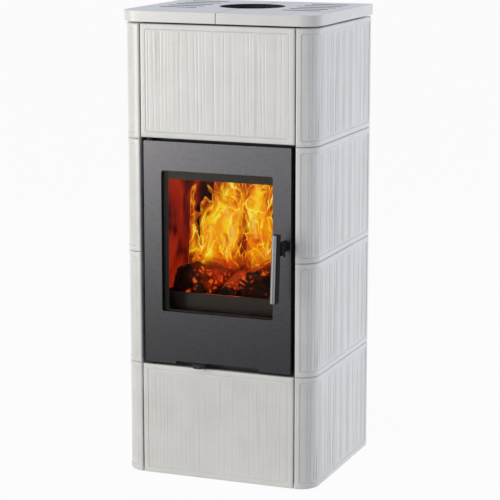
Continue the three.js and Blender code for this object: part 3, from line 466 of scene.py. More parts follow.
def build_tiles():
    """Four tiles on each side, which wrap round the front corners, and the two front tiles."""
    plate_foot = box_mm("front_plate")[0].z + 0.4
    for tier in (1, 2, 3, 4):
        low, high = box_mm(f"side_tile_right_{tier}")
        height = high.z - low.z
        lip = (LIP_DEPTH, plate_foot - low.z) if tier == 1 else None
        for side, sign, seed in (("right", 1, 3.7), ("left", -1, 11.3)):
            path, run = side_path(low, high, sign)
            tile = tile_blank(f"fluted_tile_{side}_{tier}", path, run, height, low.z, SIDE_THICK, lip)
            if sign < 0:
                tile.data.flip_normals()
            fluted(tile, run, height, seed, f"side_tile_{side}_{tier}", SIDE_FLUTES)
    for place, seed, flutes in (("top", 21.4, TOP_FLUTES), ("bottom", 26.9, BOTTOM_FLUTES)):
        low, high = box_mm(f"front_tile_{place}")

        def path(u, depth):
            return (low.x + JOINT + u, low.y + depth), (0.0, -1.0)

        run, height = high.x - low.x - 2 * JOINT, high.z - low.z
        lip = (LIP_DEPTH, plate_foot - low.z) if place == "bottom" else None
        tile = tile_blank(f"fluted_tile_front_{place}", path, run, height, low.z, high.y - low.y, lip)
        fluted(tile, run, height, seed, f"front_tile_{place}", flutes)


build_tiles()


# ---------- Finishes of the metal, stone and rope pieces ----------

# Anthracite stove paint: sprayed metallic grey, satin, with a very fine sparkle of aluminium flake.
ANTHRACITE = finish(
    "anthracite_metallic_stove_paint",
    [(0.32, "#616063"), (0.5, "#676669"), (0.68, "#6e6d70")],
    patch=1.2, rough=(0.26, 0.32), grit=0.9, lift=0.008, metallic=0.9,
)
# Matt black heat-proof paint on folded sheet: nearly even, with a faint grain.
BLACK = finish(
    "matt_black_stove_paint",
    [(0.3, "#1a1a1b"), (0.7, "#232324")],
    patch=40, rough=(0.5, 0.62), grit=1.8, lift=0.05,
)
# Satin black lacquer of the handle.
LACQUER = finish(
    "black_lacquered_steel",
    [(0.3, "#121113"), (0.7, "#19181a")],
    patch=12, rough=(0.6, 0.7), grit=2.2, lift=0.03, specular=0.1,
)
# Brushed stainless steel, its grain along the handle.
BRUSHED = finish(
    "brushed_stainless_steel",
    [(0.3, "#7c7c7d"), (0.7, "#959596")],
    patch=1.6, rough=(0.42, 0.55), grit=0.9, lift=0.02, stretch=(1, 1, 0.03), metallic=1,
)
# Zinc-coated steel of the ash pan and the screws: dull grey with the coating's patches.
ZINC = finish(
    "zinc_coated_sheet_steel",
    [(0.35, "#6f7173"), (0.5, "#85878a"), (0.65, "#9a9c9f")],
    patch=9, rough=(0.32, 0.5), grit=3.0, lift=0.02, metallic=1,
)
# Sand-cast iron: dark, rough, with the sand's grain.
CAST = finish(
    "sand_cast_iron",
    [(0.3, "#1d1c1b"), (0.7, "#31302e")],
    patch=14, rough=(0.62, 0.8), grit=1.6, lift=0.25, metallic=0.25,
)
# Firebrick: pressed vermiculite, buff with soot where the fire reaches it.
FIRECLAY = finish(
    "sooty_vermiculite_firebrick",
    [(0.3, "#2a1e16"), (0.5, "#5a4633"), (0.7, "#8c765a")],
    patch=60, rough=(0.85, 0.95), grit=2.4, lift=0.4,
)
# Dark grey enamelled plate that keeps the logs off the glass.
ENAMEL = finish(
    "dark_grey_enamelled_steel",
    [(0.3, "#4c4c4e"), (0.7, "#565658")],
    patch=35, rough=(0.45, 0.55), grit=2.0, lift=0.03,
)
# Glass-fibre rope of the door seal, grey with graphite.
ROPE = finish(
    "graphite_glass_fibre_rope",
    [(0.3, "#2f2e2c"), (0.7, "#5a5751")],
    patch=2.0, rough=(0.9, 1.0), grit=1.2, lift=0.4,
)
# Dark enamel printed on the glass along its edges.
PRINT = finish(
    "dark_enamel_print",
    [(0.3, "#3b3a39"), (0.7, "#424140")],
    patch=30, rough=(0.3, 0.36), grit=1.5, lift=0.01,
)
# Painted shade in the slabs' slots, flue hole and joint: dark grey on their walls, where shade falls.
SLOT_SHADE = finish(
    "painted_shade_in_slab_holes",
    [(0.3, "#38373a"), (0.7, "#454447")],
    patch=30, rough=(0.7, 0.8), grit=3, lift=0.05, specular=0.2,
)

FINISHES = {
    "glaze": GLAZE,
    "door_paint": ANTHRACITE,
    "black_paint": BLACK,
    "bright_steel": BRUSHED,
    "pan_steel": ZINC,
    "cast_iron": CAST,
    "fireclay": FIRECLAY,
    "seal_rope": ROPE,
}


def glass_material():
    """Heat-proof ceramic glass: a faint brown tint and a clear reflection, seen straight through."""
    material, tree = blank_material("ceramic_glass")
    smear = clouds(tree, at_object(tree), 1 / (45 * MM), 3)[0]
    haze = ranged(tree, smear, (0.35, 0.7), (0.03, 0.1))
    clear = shade(tree, "BsdfTransparent", {"Color": linear("#f6f3ee")})[0]
    shine = shade(tree, "BsdfGlossy", {"Color": linear("#686868"), "Roughness": haze})[0]
    share = shade(tree, "Fresnel", {"IOR": 1.45})[0]
    return ended(material, mixed_shader(tree, share, clear, shine))


FINISHES["glass"] = glass_material()
SLOT_OF = {row["node"]: row["material_slot"] for row in frame["record"]["subparts"]}
BODIES = frame["record"]["behaviour"]["bodies"]
BODY_OF = {node: body for body, nodes in BODIES.items() for node in nodes}


# ---------- Metal and stone pieces, from the CAD nodes with their edges broken ----------

# How far each group of pieces has its edges rounded, in mm.
EDGES = {
    1.3: ["door_panel"],
    0.6: [
        "front_plate", "glass_frame", "latch_keeper", "latch_cam", "hinge_tongue_top", "hinge_tongue_bottom",
    ],
    1.6: ["handle_neck", "handle_boss", "air_lever"],
    2.0: [
        "firebrick_left", "firebrick_right", "firebrick_back", "baffle_plate", "hearth_brick_left",
        "hearth_brick_right", "hearth_brick_front", "hearth_brick_back", "log_guard", "grate",
    ],
    0.5: ["ash_pan", "base_plate", "tile_rail_left", "tile_rail_right", "flue_collar", "body_top"],
    0.8: ["handle_grip_body"],
    2.4: ["handle_grip_strip"],
    1.2: ["foot_front_left", "foot_front_right", "foot_back_left", "foot_back_right", "handle_pin"],
}
SHARP = math.radians(38)  # a smaller turn between two faces stays as it is
FRONTAL = -0.45  # the grip strip is brushed where its normal points further to the front than this
LACQUERED = ("handle_neck", "handle_boss", "handle_grip_body", "handle_pin")


def merged_copy(node):
    """A copy of a CAD node's mesh with its doubles merged and its flat faces joined."""
    mesh = NODES[node].data.copy()
    shell = bmesh.new()
    shell.from_mesh(mesh)
    bmesh.ops.remove_doubles(shell, verts=shell.verts, dist=0.005 * MM)
    flat = {"angle_limit": math.radians(1.0), "use_dissolve_boundaries": False}
    bmesh.ops.dissolve_limit(shell, verts=shell.verts, edges=shell.edges, **flat)
    shell.to_mesh(mesh)
    shell.free()
    for label in [a.name for a in mesh.attributes if a.name.startswith(("UVMap", "custom_normal"))]:
        mesh.attributes.remove(mesh.attributes[label])
    mesh.polygons.foreach_set("use_smooth", [True] * len(mesh.polygons))
    return mesh


def eased(piece, width, segments, **limit):
    """Rounds a piece's edges, those that the limit chooses."""
    bevel = piece.modifiers.new("edges", "BEVEL")
    settings = {"width": width * MM, "segments": segments, "harden_normals": True, **limit}
    for name, value in settings.items():
        setattr(bevel, name, value)
    return flattened(piece)


def look_of(node):
    """The finish of a CAD node."""
    return LACQUER if node in LACQUERED else FINISHES[SLOT_OF[node]]


def build_plain_pieces():
    """The listed CAD nodes with rounded edges, the grip strip's sides in the grip's lacquer."""
    for width, nodes in EDGES.items():
        for node in nodes:
            piece = linked(f"{node}_finished", merged_copy(node))
            eased(piece, width, 3, limit_method="ANGLE", angle_limit=SHARP)
            material = ENAMEL if node == "log_guard" else look_of(node)
            dressed(piece, material, BODY_OF[node], [node])
            if node == "handle_grip_strip":
                piece.data.materials.append(LACQUER)
                for face in piece.data.polygons:
                    if face.normal.y > FRONTAL:
                        face.material_index = 1


build_plain_pieces()

for node, piece in NODES.items():
    piece.data.materials.clear()
    piece.data.materials.append(look_of(node))


# ---------- Top slabs ----------


def arc(middle, radius, start, end, steps):
    """Points on an arc, angles in quarter turns."""
    angles = [(start + (end - start) * k / steps) * math.pi / 2 for k in range(steps + 1)]
    return [(middle[0] + radius * math.cos(a), middle[1] + radius * math.sin(a)) for a in angles]


def plate(name, outlines, low, high, rim_round, hole_round):
    """A flat plate between two heights: outlines[0] is its rim, the others are holes."""
    curve = bpy.data.curves.new(name, "CURVE")
    curve.dimensions = "2D"
    curve.fill_mode = "BOTH"
    for outline in outlines:
        spline = curve.splines.new("POLY")
        spline.points.add(len(outline) - 1)
        for point, (x, y) in zip(spline.points, outline):
            point.co = (x * MM, y * MM, 0.0, 1.0)
        spline.use_cyclic_u = True
    curve.extrude = (high - low) / 2 * MM
    source = linked(name + "_outline", curve)
    graph = bpy.context.evaluated_depsgraph_get()
    mesh = bpy.data.meshes.new_from_object(source.evaluated_get(graph))
    bpy.data.objects.remove(source)
    mesh.name = name
    mesh.transform(Matrix.Translation((0, 0, (low + high) / 2 * MM)))
    rim = {(round(x, 2), round(y, 2)) for x, y in outlines[0]}
    shell = bmesh.new()
    shell.from_mesh(mesh)
    bmesh.ops.remove_doubles(shell, verts=shell.verts, dist=0.01 * MM)
    bmesh.ops.recalc_face_normals(shell, faces=shell.faces)
    weight = shell.edges.layers.float.new("bevel_weight_edge")
    for edge in shell.edges:
        if edge.calc_face_angle(0.0) > SHARP:
            on_rim = all((round(v.co.x / MM, 2), round(v.co.y / MM, 2)) in rim for v in edge.verts)
            edge[weight] = 1.0 if on_rim else hole_round / rim_round
    shell.to_mesh(mesh)
    shell.free()
    mesh.polygons.foreach_set("use_smooth", [True] * len(mesh.polygons))
    return eased(linked(name, mesh), rim_round, 4, limit_method="WEIGHT")


SLOTS, SLOT_STEP = 5, 50.0  # on each slab, and the distance between them
SLOT_ASIDE, SLOTS_BACK = 154.0, 42.0  # their middle, from the stove's middle and from the slabs' middle
SLOT_REACH, SLOT_HALF = 41.0, 7.0  # from a slot's middle to the middle of its round end, and half its width
SLAB_ROUND, HOLE_ROUND = 2.6, 0.5  # at a slab's rim and at the edges of its holes


def build_slabs():
    """Two glazed slabs that meet over the middle, with their slots and half of the flue hole each."""
    low, high = box_mm("top_slab_right")
    collar_low, collar_high = box_mm("flue_collar")
    flue_y = (collar_low.y + collar_high.y) / 2
    flue_r = (collar_high.x - collar_low.x) / 2
    half = math.asin(low.x / flue_r) / (math.pi / 2)
    rim = [(low.x, low.y)]
    rim += arc((high.x - CORNER, low.y + CORNER), CORNER, -1, 0, 16)
    rim += arc((high.x - 8, high.y - 8), 8, 0, 1, 6)
    rim += [(low.x, high.y)]
    rim += arc((0, flue_y), flue_r, 1 - half, -1 + half, 40)
    slots_y = (low.y + high.y) / 2 + SLOTS_BACK
    slots = []
    for k in range(SLOTS):
        y = slots_y + (k - (SLOTS - 1) / 2) * SLOT_STEP
        ends = ((SLOT_ASIDE + SLOT_REACH, -1), (SLOT_ASIDE - SLOT_REACH, 1))
        slots.append([p for x, turn in ends for p in arc((x, y), SLOT_HALF, turn, turn + 2, 8)])
    for side, sign in (("right", 1), ("left", -1)):
        outlines = [[(sign * x, y) for x, y in outline] for outline in [rim, *slots]]
        slab = plate(f"glazed_top_slab_{side}", outlines, low.z, high.z, SLAB_ROUND, HOLE_ROUND)
        dressed(slab, GLAZE, "stove", [f"top_slab_{side}"])
        # The walls of the slots, of the flue hole and of the joint take the painted shade.
        slab.data.materials.append(SLOT_SHADE)
        for face in slab.data.polygons:
            x, y, _ = face.center / MM
            beside = abs(abs(x) - SLOT_ASIDE) < SLOT_REACH + SLOT_HALF + 1
            in_slots = beside and abs(y - slots_y) < SLOTS / 2 * SLOT_STEP
            in_flue = math.hypot(x, y - flue_y) < flue_r + 0.5
            in_joint = abs(x) < low.x + SLAB_ROUND and abs(face.normal.x) > 0.3
            if (in_slots or in_flue or in_joint) and abs(face.normal.z) < 0.97:
                face.material_index = 1


build_slabs()


# ---------- Printed border of the door glass ----------


def upright(piece):
    """Turns a flat plate up: its Y becomes Z, and its thickness runs along Y."""
    piece.data.transform(Matrix.Rotation(math.pi / 2, 4, "X"))
    return piece


def rectangle(x0, x1, y0, y1, radius):
    """A rounded rectangle, anticlockwise."""
    corners = ((x1 - radius, y0 + radius), (x1 - radius, y1 - radius), (x0 + radius, y1 - radius))
    corners += ((x0 + radius, y0 + radius),)
    return [p for turn, middle in enumerate(corners) for p in arc(middle, radius, turn - 1, turn, 6)]


CLEAR_VIEW = (-123.5, 136.5, 404.5, 713.5)  # left, right, foot and top of the glass without print


def build_print():
    """Enamel bands printed on the glass in grey, and by the hinge a black sheet just behind them: painted
    shade of the window's edge on that side.
    """
    low, high = box_mm("door_glass")
    back = -high.y  # the bands lie up to 0.2 mm behind the glass
    outer = rectangle(low.x + 0.5, high.x - 0.5, low.z + 0.5, high.z - 0.5, 4)
    inner = rectangle(*CLEAR_VIEW, 3)
    border = upright(plate("glass_print_border", [outer, inner], back - 0.2, back - 0.1, 0.02, 0.02))
    dressed(border, PRINT, "door", [])
    # A black sheet along the hinge side: painted shade where the window's edge shades the glass.
    dark = rectangle(low.x + 1, CLEAR_VIEW[0] - 0.1, low.z + 1, high.z - 1, 3)
    shade_sheet = upright(plate("glass_print_hinge_side", [dark], back - 0.08, back - 0.03, 0.01, 0.01))
    dressed(shade_sheet, BLACK, "door", [])


build_print()


# ---------- Rope seal of the door, screws of the rear panel ----------


def evenly(outline, count):
    """That many points at even steps along a closed outline, each with its outward direction."""
    ends = [Vector(p) for p in outline]
    sides = [(a, b) for a, b in zip(ends, ends[1:] + ends[:1]) if (b - a).length > 1e-6]
    step = sum((b - a).length for a, b in sides) / count
    found, travelled = [], 0.0
    for a, b in sides:
        length, direction = (b - a).length, (b - a).normalized()
        while len(found) * step < travelled + length and len(found) < count:
            spot = a + direction * (len(found) * step - travelled)
            found.append((spot, Vector((direction.y, -direction.x))))
        travelled += length
    return found


def build_seal():
    """The door's rope seal: three strands of glass fibre twisted together round the mouth."""
    low, high = box_mm("door_seal")
    thick = (high.y - low.y) / 2
    middle = (low.y + high.y) / 2
    ring = rectangle(low.x + thick, high.x - thick, low.z + thick, high.z - thick, 6.0)
    turns, steps, sides = 72, 12, 8
    places = evenly(ring, turns * steps)
    strand, reach = thick * 0.5, thick * 0.5
    points, faces = [], []
    for number in range(3):
        first = len(points)
        for i, (spot, out) in enumerate(places):
            twist = 2 * math.pi * (i / steps + number / 3)
            for j in range(sides):
                turn = 2 * math.pi * j / sides
                aside = reach * math.cos(twist) + strand * math.cos(turn)
                depth = reach * math.sin(twist) + strand * math.sin(turn)
                points.append((spot.x + out.x * aside, middle + depth, spot.y + out.y * aside))
        faces += loft(len(places), sides, first, closed=True, turned=True)
    rope = made("twisted_rope_seal", points, faces)
    shell = bmesh.new()
    shell.from_mesh(rope.data)
    bmesh.ops.recalc_face_normals(shell, faces=shell.faces)
    shell.to_mesh(rope.data)
    shell.free()
    dressed(rope, ROPE, "door", ["door_seal"])


def build_screws():
    """Button-head screws along the rear panel's edges, set out by geometry nodes."""
    low, high = box_mm("rear_panel")
    tree, given = geometry_tree("screw_rows", ("Head radius", "Crown radius", "Head height"), "Steel")
    cone = {"Radius Top": given["Crown radius"], "Radius Bottom": given["Head radius"]}
    cone.update({"Depth": given["Head height"], "Vertices": 24})
    head = add(tree, "GeometryNodeMeshCone", cone).outputs[0]
    inputs = {"Points": given["Geometry"], "Instance": head, "Rotation": (-math.pi / 2, 0, 0)}
    end_tree(tree, add(tree, "GeometryNodeInstanceOnPoints", inputs).outputs[0], given["Steel"])
    inset, rows = 10.0, 5
    spots = [
        (side, high.y - 0.1, low.z + inset + (high.z - low.z - 2 * inset) * k / (rows - 1))
        for side in (low.x + inset, high.x - inset)
        for k in range(rows)
    ]
    values = {"Head radius": 4.6 * MM, "Crown radius": 3.4 * MM, "Head height": 2.0 * MM, "Steel": ZINC}
    screws = shaped(made("rear_panel_screws", spots, []), tree, values)
    dressed(screws, None, "stove")


build_seal()
build_screws()


# ---------- Fire: logs, embers and flames ----------


def charcoal_material():
    """Burning split wood: charred black-brown bark with cracks and blocks that glow inside."""
    material, tree = blank_material("charred_burning_firewood")
    place = at_object(tree)
    rough = clouds(tree, place, 1 / (34 * MM), 5)[0]
    bent = moved(tree, clouds(tree, place, 1 / (30 * MM), 3)[1], (0.02, 0.02, 0.02), place)
    size = {"Vector": bent, "Scale": 1 / (17 * MM)}
    cracks = shade(tree, "TexVoronoi", size, feature="DISTANCE_TO_EDGE")[0]
    blocks = clouds(tree, place, 1 / (48 * MM), 2)[0]
    glow = ranged(tree, blocks, (0.46, 0.6), (0.0, 1.0), "SMOOTHSTEP")
    heat = maths(tree, "MULTIPLY", glow, ranged(tree, cracks, (0.03, 0.3), (0.0, 1.0)))
    fire = [(0.0, "#000000"), (0.2, "#2a0703"), (0.5, "#7c1d09"), (0.8, "#b8400f"), (1.0, "#e8751f")]
    edge = bumped(tree, cracks, 5 * MM, 0.8)
    look = {
        "Base Color": graded(tree, rough, [(0.3, "#0d0705"), (0.5, "#2a140b"), (0.7, "#5a2c15")]),
        "Roughness": 0.85,
        "Normal": bumped(tree, clouds(tree, place, 1 / (6 * MM), 4)[0], 1.6 * MM, 0.8, Normal=edge),
        "Emission Color": graded(tree, heat, fire),
        "Emission Strength": 0.8,
    }
    return ended(material, shade(tree, "BsdfPrincipled", look)[0], glows=True)


# A flame's colours, from its coolest to its hottest gas.
FLAME_STOPS = [(0.0, "#a81c06"), (0.2, "#d23a08"), (0.36, "#ec5d0c"), (0.5, "#f98a10")]
FLAME_STOPS += [(0.64, "#ffb40e"), (0.8, "#ffd916"), (1.0, "#fff080")]


def warped(tree, place, scale, reach, detail):
    """A place pushed about by cloudy noise, which draws swirls into what is looked up there."""
    push = {0: clouds(tree, place, scale, detail)[1], 1: (0.5, 0.5, 0.5)}
    centred = shade(tree, "VectorMath", push, operation="SUBTRACT")[0]
    return moved(tree, centred, (reach, reach, reach), place)


def flame_material(name, seed, split, low, high, breadth, centre, foot):
    """Burning gas: pointed tongues with thin bright rims over a clearer orange body.

    The walls of gas before and behind the depth split differ. low and high are the heights between
    which the tongues end, breadth and centre say where along X they are tall, and foot is the height
    below which they thin out, all in metres.
    """
    material, tree = blank_material(name)
    worked, ramped = partial(maths, tree), partial(ranged, tree)
    times, _, minus, times_plus, larger, smaller, size_of = sums(tree)

    def vector(x, y, z):
        return shade(tree, "CombineXYZ", {0: x, 1: y, 2: z})[0]

    def close_to(value, middle, slope):
        """One at the middle, and falling to nought on both sides of it."""
        away = size_of(minus(value, middle))
        return larger(times_plus(away, slope, 1.0), 0.0)

    def with_rim_and_threads(base, rim_share, thread_share):
        return times_plus(rim, rim_share, times_plus(thread, thread_share, base))

    x, y, z = shade(tree, "SeparateXYZ", {0: at_object(tree)})
    layer = times_plus(worked("GREATER_THAN", y, split), 3.7, seed)
    slow = warped(tree, vector(x, layer, z), 7.0, 0.11, 1)
    swirl = warped(tree, slow, 19.0, 0.045, 2)
    curl = warped(tree, swirl, 48.0, 0.010, 1)
    spot = shade(tree, "SeparateXYZ", {0: curl})
    # The height at which the gas above each place along X stops burning: crests of cloudy noise,
    # taller near the centre and fading out towards the shell's sides.
    bands = vector(spot[0], layer, times(spot[2], 0.16))
    noisy = {"Vector": bands, "Scale": 25.0, "Detail": 1, "Roughness": 0.4}
    crest = ramped(shade(tree, "TexNoise", noisy)[0], (0.34, 0.66), (0.0, 1.0))
    aside = size_of(minus(spot[0], centre))
    dome = ramped(aside, (0.03, breadth), (1.0, 0.3), "SMOOTHSTEP")
    end = ramped(size_of(x), (0.098, 0.134), (1.0, -0.35), "SMOOTHSTEP")
    tall = times(crest, smaller(dome, end))
    under = minus(times_plus(tall, high - low, low), spot[2])
    inside = ramped(under, (0.0, 0.007), (0.0, 1.0), "SMOOTHSTEP")
    rim = close_to(under, 0.008, -95.0)
    deep = ramped(under, (0.01, 0.15), (0.0, 1.0))
    # Bright threads and streaks within the body, drawn out upwards.
    drawn = shade(tree, "Mapping", {"Vector": curl, "Scale": (1.0, 1.0, 0.36)})[0]
    streak = clouds(tree, drawn, 52.0, 2)[0]
    thread = worked("POWER", close_to(clouds(tree, drawn, 34.0, 1)[0], 0.5, -17.0), 1.3)
    footing = ramped(spot[2], (foot - 0.02, foot + 0.035), (0.0, 1.0), "SMOOTHSTEP")
    heat = times_plus(deep, 0.42, times_plus(streak, 1.0, -0.24))
    heat = with_rim_and_threads(heat, 0.42, 0.32)
    heat = clamped(tree, times(heat, times_plus(footing, 0.6, 0.4)), 0.96)
    body = times_plus(deep, 0.5, times_plus(streak, 1.1, -0.26))
    body = times(with_rim_and_threads(body, 0.6, 0.4), inside)
    dense = clamped(tree, times(body, footing))
    glow = glowing(tree, graded(tree, heat, FLAME_STOPS), 1.1)
    clear = shade(tree, "BsdfTransparent", {"Color": WHITE})[0]
    return ended(material, mixed_shader(tree, dense, clear, glow), glows=True)


def backdrop_material():
    """Painted firelight on the firebox's bricks: a sheet just off them glows dark red over near black,
    brightest at the left front.
    """
    material, tree = blank_material("red_glow_of_the_firebox")
    place = at_object(tree)
    bent = warped(tree, place, 9.0, 0.14, 2)
    tall = shade(tree, "Mapping", {"Vector": bent, "Scale": (1.0, 1.0, 0.5)})[0]
    uneven = maths(tree, "MULTIPLY_ADD", clouds(tree, tall, 16.0, 3)[0], 1.9, -0.5)
    depth = shade(tree, "SeparateXYZ", {0: place})[1]
    heat = maths(tree, "ADD", uneven, ranged(tree, depth, (-0.09, 0.12), (0.4, 0.0)))
    stops = [(0.3, "#230503"), (0.48, "#5a0d07"), (0.7, "#9c1f0d"), (0.95, "#b42c10")]
    return ended(material, glowing(tree, graded(tree, heat, stops), 0.8), glows=True)


CHARCOAL = charcoal_material()


def log(name, start, end, radius, seed):
    """A burning log between two points in mm: ridged bark, split ends, closed."""
    start, end = Vector(start), Vector(end)
    along = (end - start).normalized()
    side = along.orthogonal().normalized()
    other = along.cross(side)
    rings, sides = 44, 56
    points = []
    for i in range(rings + 1):
        t = i / rings
        middle = start.lerp(end, t)
        close = min(t, 1 - t) * rings
        shrink = 1.0 if close >= 2 else 0.94 + 0.03 * close
        for j in range(sides):
            angle = 2 * math.pi * j / sides
            spot = Vector((math.cos(angle) * 2.2, math.sin(angle) * 2.2, t * 2.5 + seed))
            lump = noise.noise(spot) * 0.16 + noise.noise(spot * 3.1) * 0.07
            ridge = abs(noise.noise(Vector((angle * 5.5, t * 1.6, seed * 3)))) * 0.12
            r = radius * shrink * (1.0 + lump - ridge)
            points.append(middle + (side * math.cos(angle) + other * math.sin(angle)) * r)
    faces = loft(rings + 1, sides, turned=True)
    # Each end is split wood: rings that shrink to these shares of its radius, pushed in and out.
    for ring, sign in ((0, -1), (rings, 1)):
        first = ring * sides
        previous = [first + j for j in range(sides)]
        middle = start if ring == 0 else end
        for share in (0.72, 0.42, 0.16):
            fresh = []
            for j in range(sides):
                spot = middle.lerp(points[first + j], share)
                push = noise.noise(spot * 0.055 + Vector((seed, 0, 0))) * radius * 0.2
                fresh.append(len(points))
                points.append(spot + along * sign * push)
            for j in range(sides):
                k = (j + 1) % sides
                quad = (previous[j], previous[k], fresh[k], fresh[j])
                faces.append(quad if sign > 0 else quad[::-1])
            previous = fresh
        cap = tuple(previous)
        faces.append(cap if sign > 0 else cap[::-1])
    dressed(made(name, points, faces), CHARCOAL, "stove")


def build_logs():
    """Two logs side by side, a thinner one between them and one across the back."""
    log("burning_log_left", (-104, -86, 450), (-44, 112, 458), 49, 1.3)
    log("burning_log_right", (66, -84, 448), (92, 122, 462), 50, 7.9)
    log("burning_log_middle", (2, -90, 428), (-24, 96, 452), 29, 4.4)
    log("burning_log_across", (-118, 118, 506), (120, 92, 512), 36, 9.2)


def build_embers():
    """A bed of glowing charcoal chunks, scattered by geometry nodes."""
    numbers = ("Width", "Depth", "Base", "Chunk", "Density")  # in metres and chunks a square metre
    tree, given = geometry_tree("ember_bed", numbers, "Charcoal", ("Seed",))

    def uneven(low, high):
        inputs = {0: low, 1: high, "Seed": given["Seed"]}
        return add(tree, "FunctionNodeRandomValue", inputs, data_type="FLOAT_VECTOR").outputs[0]

    grid = add(tree, "GeometryNodeMeshGrid", {0: given["Width"], 1: given["Depth"], 2: 2, 3: 2})
    lifted = shade(tree, "CombineXYZ", {1: 25 * MM, 2: given["Base"]})[0]
    bed = add(tree, "GeometryNodeSetPosition", {"Geometry": grid.outputs[0], "Offset": lifted})
    inputs = {"Mesh": bed.outputs[0], "Density": given["Density"], "Seed": given["Seed"]}
    spots = add(tree, "GeometryNodeDistributePointsOnFaces", inputs)
    chunk = add(tree, "GeometryNodeMeshIcoSphere", {0: given["Chunk"], 1: 2})
    inputs = {
        "Points": spots.outputs[0],
        "Instance": chunk.outputs[0],
        "Rotation": uneven((0, 0, 0), (6.28, 6.28, 6.28)),
        "Scale": uneven((0.5, 0.5, 0.4), (1.5, 1.2, 0.9)),
    }
    placed = add(tree, "GeometryNodeInstanceOnPoints", inputs)
    whole = add(tree, "GeometryNodeRealizeInstances", {0: placed.outputs[0]})
    rough = clouds(tree, add(tree, "GeometryNodeInputPosition").outputs[0], 70.0, 2)[1]
    shake = moved(tree, rough, (0.016, 0.016, 0.012), (-0.008, -0.008, -0.006))
    broken = add(tree, "GeometryNodeSetPosition", {"Geometry": whole.outputs[0], "Offset": shake})
    end_tree(tree, broken.outputs[0], given["Charcoal"])
    values = {"Width": 0.25, "Depth": 0.2, "Base": 0.406, "Chunk": 0.0105, "Density": 5200.0, "Seed": 8}
    embers = linked("ember_bed", bpy.data.meshes.new("ember_bed"))
    dressed(shaped(embers, tree, {**values, "Charcoal": CHARCOAL}), None, "stove")


def gas_shell(name, walls, low, high, material):
    """A closed shell between two upright walls, each the plan point (x, y) at a share and a height."""
    columns, rows = 48, 40
    heights = [low + (high - low) * j / rows for j in range(rows + 1)]
    points = []
    for i in range(columns + 1):
        for wall, way in zip(walls, (1, -1)):
            points += [(*wall(i / columns, z), z) for z in heights[::way]]
    sides = 2 * len(heights)
    faces, last = loft(columns + 1, sides), columns * sides
    for j in range(rows):
        far = sides - 1 - j
        faces += [(j, j + 1, far - 1, far), (last + j + 1, last + j, last + far, last + far - 1)]
    dressed(made(name, points, faces), material, "stove")


def waved(depth, half, wave):
    """A wall of gas across the firebox, waved along its width and height."""

    def wall(share, z):
        x = half * (2 * share - 1)
        return x, depth + wave * math.sin(x * 0.04 + z * 0.018 + depth)

    return wall


def lining(gap):
    """A wall along the left and the back bricks, that far off them."""
    left, front, back, right = -151.0 + gap, -96.0, 166.0 - gap, 149.0

    def wall(share, _):
        if share < 0.5:
            return left, front + (back - front) * share * 2
        return left + (right - left) * (share * 2 - 1), back

    return wall


# Each shell of flame: its front, back, half width and top, its wave and its seed, then how high its
# tongues end, their breadth and centre and the foot where they thin out, in metres.
FLAME_SHELLS = (
    (96, 136, 144, 762, 8, 0.3, (0.5, 0.84, 0.21, -0.03, 0.42)),
    (16, 58, 142, 760, 9, 1.9, (0.49, 0.78, 0.2, -0.03, 0.49)),
    (-60, -24, 138, 740, 8, 4.6, (0.46, 0.69, 0.22, -0.06, 0.49)),
)
GLOW_FOOT, GLOW_TOP, FLAME_FOOT = 440, 764, 425


def build_flames():
    """Painted firelight along the bricks and three shells of flame before it, six walls of flame in all."""
    gas_shell("red_glow_lining", (lining(3.0), lining(1.5)), GLOW_FOOT, GLOW_TOP, backdrop_material())
    for number, (front, back, half, high, wave, seed, shape) in enumerate(FLAME_SHELLS, 1):
        split = (front + back) / 2 * MM
        material = flame_material(f"burning_wood_gas_{number}", seed, split, *shape)
        walls = (waved(front, half, wave), waved(back, half, wave))
        gas_shell(f"flame_shell_{number}", walls, FLAME_FOOT, high, material)


build_logs()
build_embers()
build_flames()


# ---------- Camera, lights, floor ----------

# The lens in pixels of the photograph, the place in metres and the turns in radians.
IMAGE_PX = 500.0
FOCAL_PX = 1991.76
CAMERA_PLACE = (1.72195, -4.32903, 1.44335)
CAMERA_YAW = 0.3746
CAMERA_PITCH = 0.1944


def set_camera():
    """The camera, with the place and the lens that the photograph's edges gave."""
    data = bpy.data.cameras.new("camera")
    data.sensor_width = 36.0
    data.lens = FOCAL_PX / IMAGE_PX * data.sensor_width
    data.clip_start, data.clip_end = 0.05, 200.0
    camera = linked("camera", data)
    camera.location = CAMERA_PLACE
    camera.rotation_euler = (math.pi / 2 - CAMERA_PITCH, 0.0, CAMERA_YAW)
    bpy.context.scene.camera = camera


def light(name, kind, place, power, colour):
    """A lamp, and its data."""
    data = bpy.data.lights.new(name, kind)
    data.energy = power
    data.color = linear(colour)[:3]
    lamp = linked(name, data)
    lamp.location = place
    return lamp, data


def softbox(name, place, target, size, power, colour):
    """A wide soft light that faces a target."""
    lamp, data = light(name, "AREA", place, power, colour)
    data.shape = "RECTANGLE"
    data.size, data.size_y = size
    lamp.rotation_euler = (Vector(target) - Vector(place)).to_track_quat("-Z", "Y").to_euler()
    return lamp


def set_lights():
    """A warm key from the left front, a cool one from the right and a weak low fill."""
    softbox("key_softbox", (-3.1, -3.3, 1.0), (0, 0, 0.3), (2.6, 2.8), 129, "#fffcf4")
    side = softbox("side_softbox", (2.6, 2.1, 0.4), (0.2, 0, 0.3), (2.0, 1.9), 67, "#eef1ff")
    side.visible_glossy = False
    softbox("fill_softbox", (2.9, -2.0, 0.28), (0.2, -0.1, 0.2), (1.2, 0.5), 10, "#eef1ff")


def set_firelight():
    """The fire's own light on the bricks, from two small warm lamps among the flames."""
    for name, place, power in (("middle", (0.0, 0.03, 0.56), 2.8), ("low", (0.0, -0.04, 0.5), 1.2)):
        _, data = light(f"firelight_{name}", "POINT", place, power, "#ff5c24")
        data.shadow_soft_size = 0.06


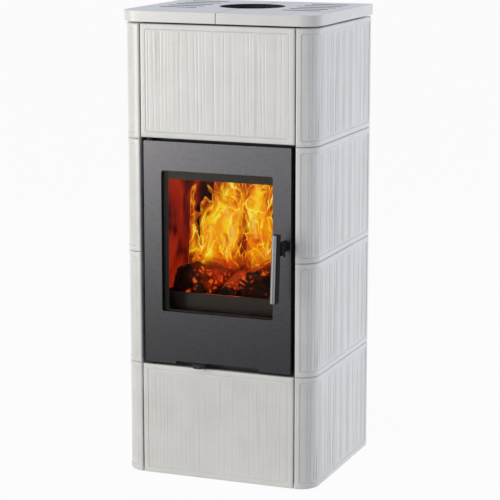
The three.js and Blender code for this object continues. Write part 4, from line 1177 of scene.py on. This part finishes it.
def set_world():
    """An even studio: white to the camera, and dimmer where it lights the stove."""
    world = bpy.data.worlds.new("studio")
    world.use_nodes = True
    tree = world.node_tree
    tree.nodes.clear()
    path = shade(tree, "LightPath")
    seen = path["Is Camera Ray"]
    for kind in ("Is Transmission Ray", "Is Glossy Ray"):
        seen = maths(tree, "MAXIMUM", seen, path[kind])
    bright = ranged(tree, seen, (0.0, 1.0), (0.38, 1.0))
    tint = mixed_colour(tree, path["Is Camera Ray"], linear("#eff2ff"), WHITE)
    lit = shade(tree, "Background", {"Color": tint, "Strength": bright})[0]
    add(tree, "ShaderNodeOutputWorld", {"Surface": lit})
    bpy.context.scene.world = world


FLOOR_EDGE = 40.0
FLOOR_DARK = 0.02  # how bright reflections show the floor close by


def build_floor():
    """A pale floor: white to the camera but for the shadow, and darker close by in reflections."""
    material, tree = blank_material("white_studio_floor")
    place = at_object(tree)
    pale = graded(tree, clouds(tree, place, 3.0, 2)[0], [(0.3, "#ececec"), (0.7, "#f2f2f2")])
    paint = shade(tree, "BsdfDiffuse", {"Color": pale})[0]
    white = glowing(tree, WHITE, 1.0)
    rays = shade(tree, "LightPath")
    share = maths(tree, "MULTIPLY", rays["Is Camera Ray"], 0.95)
    seen = mixed_shader(tree, share, paint, white)
    across, ahead, _ = shade(tree, "SeparateXYZ", {0: place})
    bright_parts = ((ahead, (-2.2, -4.4), 1.0), (ahead, (-0.6, 0.1), 1.0), (across, (0.3, 1.2), 0.6))
    glow = FLOOR_DARK
    for value, stretch, most in bright_parts:
        glow = maths(tree, "MAXIMUM", ranged(tree, value, stretch, (FLOOR_DARK, most)), glow)
    mirrored = glowing(tree, WHITE, glow)
    ended(material, mixed_shader(tree, rays["Is Glossy Ray"], seen, mirrored), glows=True)
    mesh = bpy.data.meshes.new("studio_floor")
    corners = [(x * FLOOR_EDGE, y * FLOOR_EDGE, 0) for x, y in ((-1, -1), (1, -1), (1, 1), (-1, 1))]
    mesh.from_pydata(corners, [], [(0, 1, 2, 3)])
    mesh.materials.append(material)
    linked("studio_floor", mesh)


set_camera()
set_lights()
set_firelight()
set_world()
build_floor()
bpy.context.scene.view_settings.view_transform = "Standard"
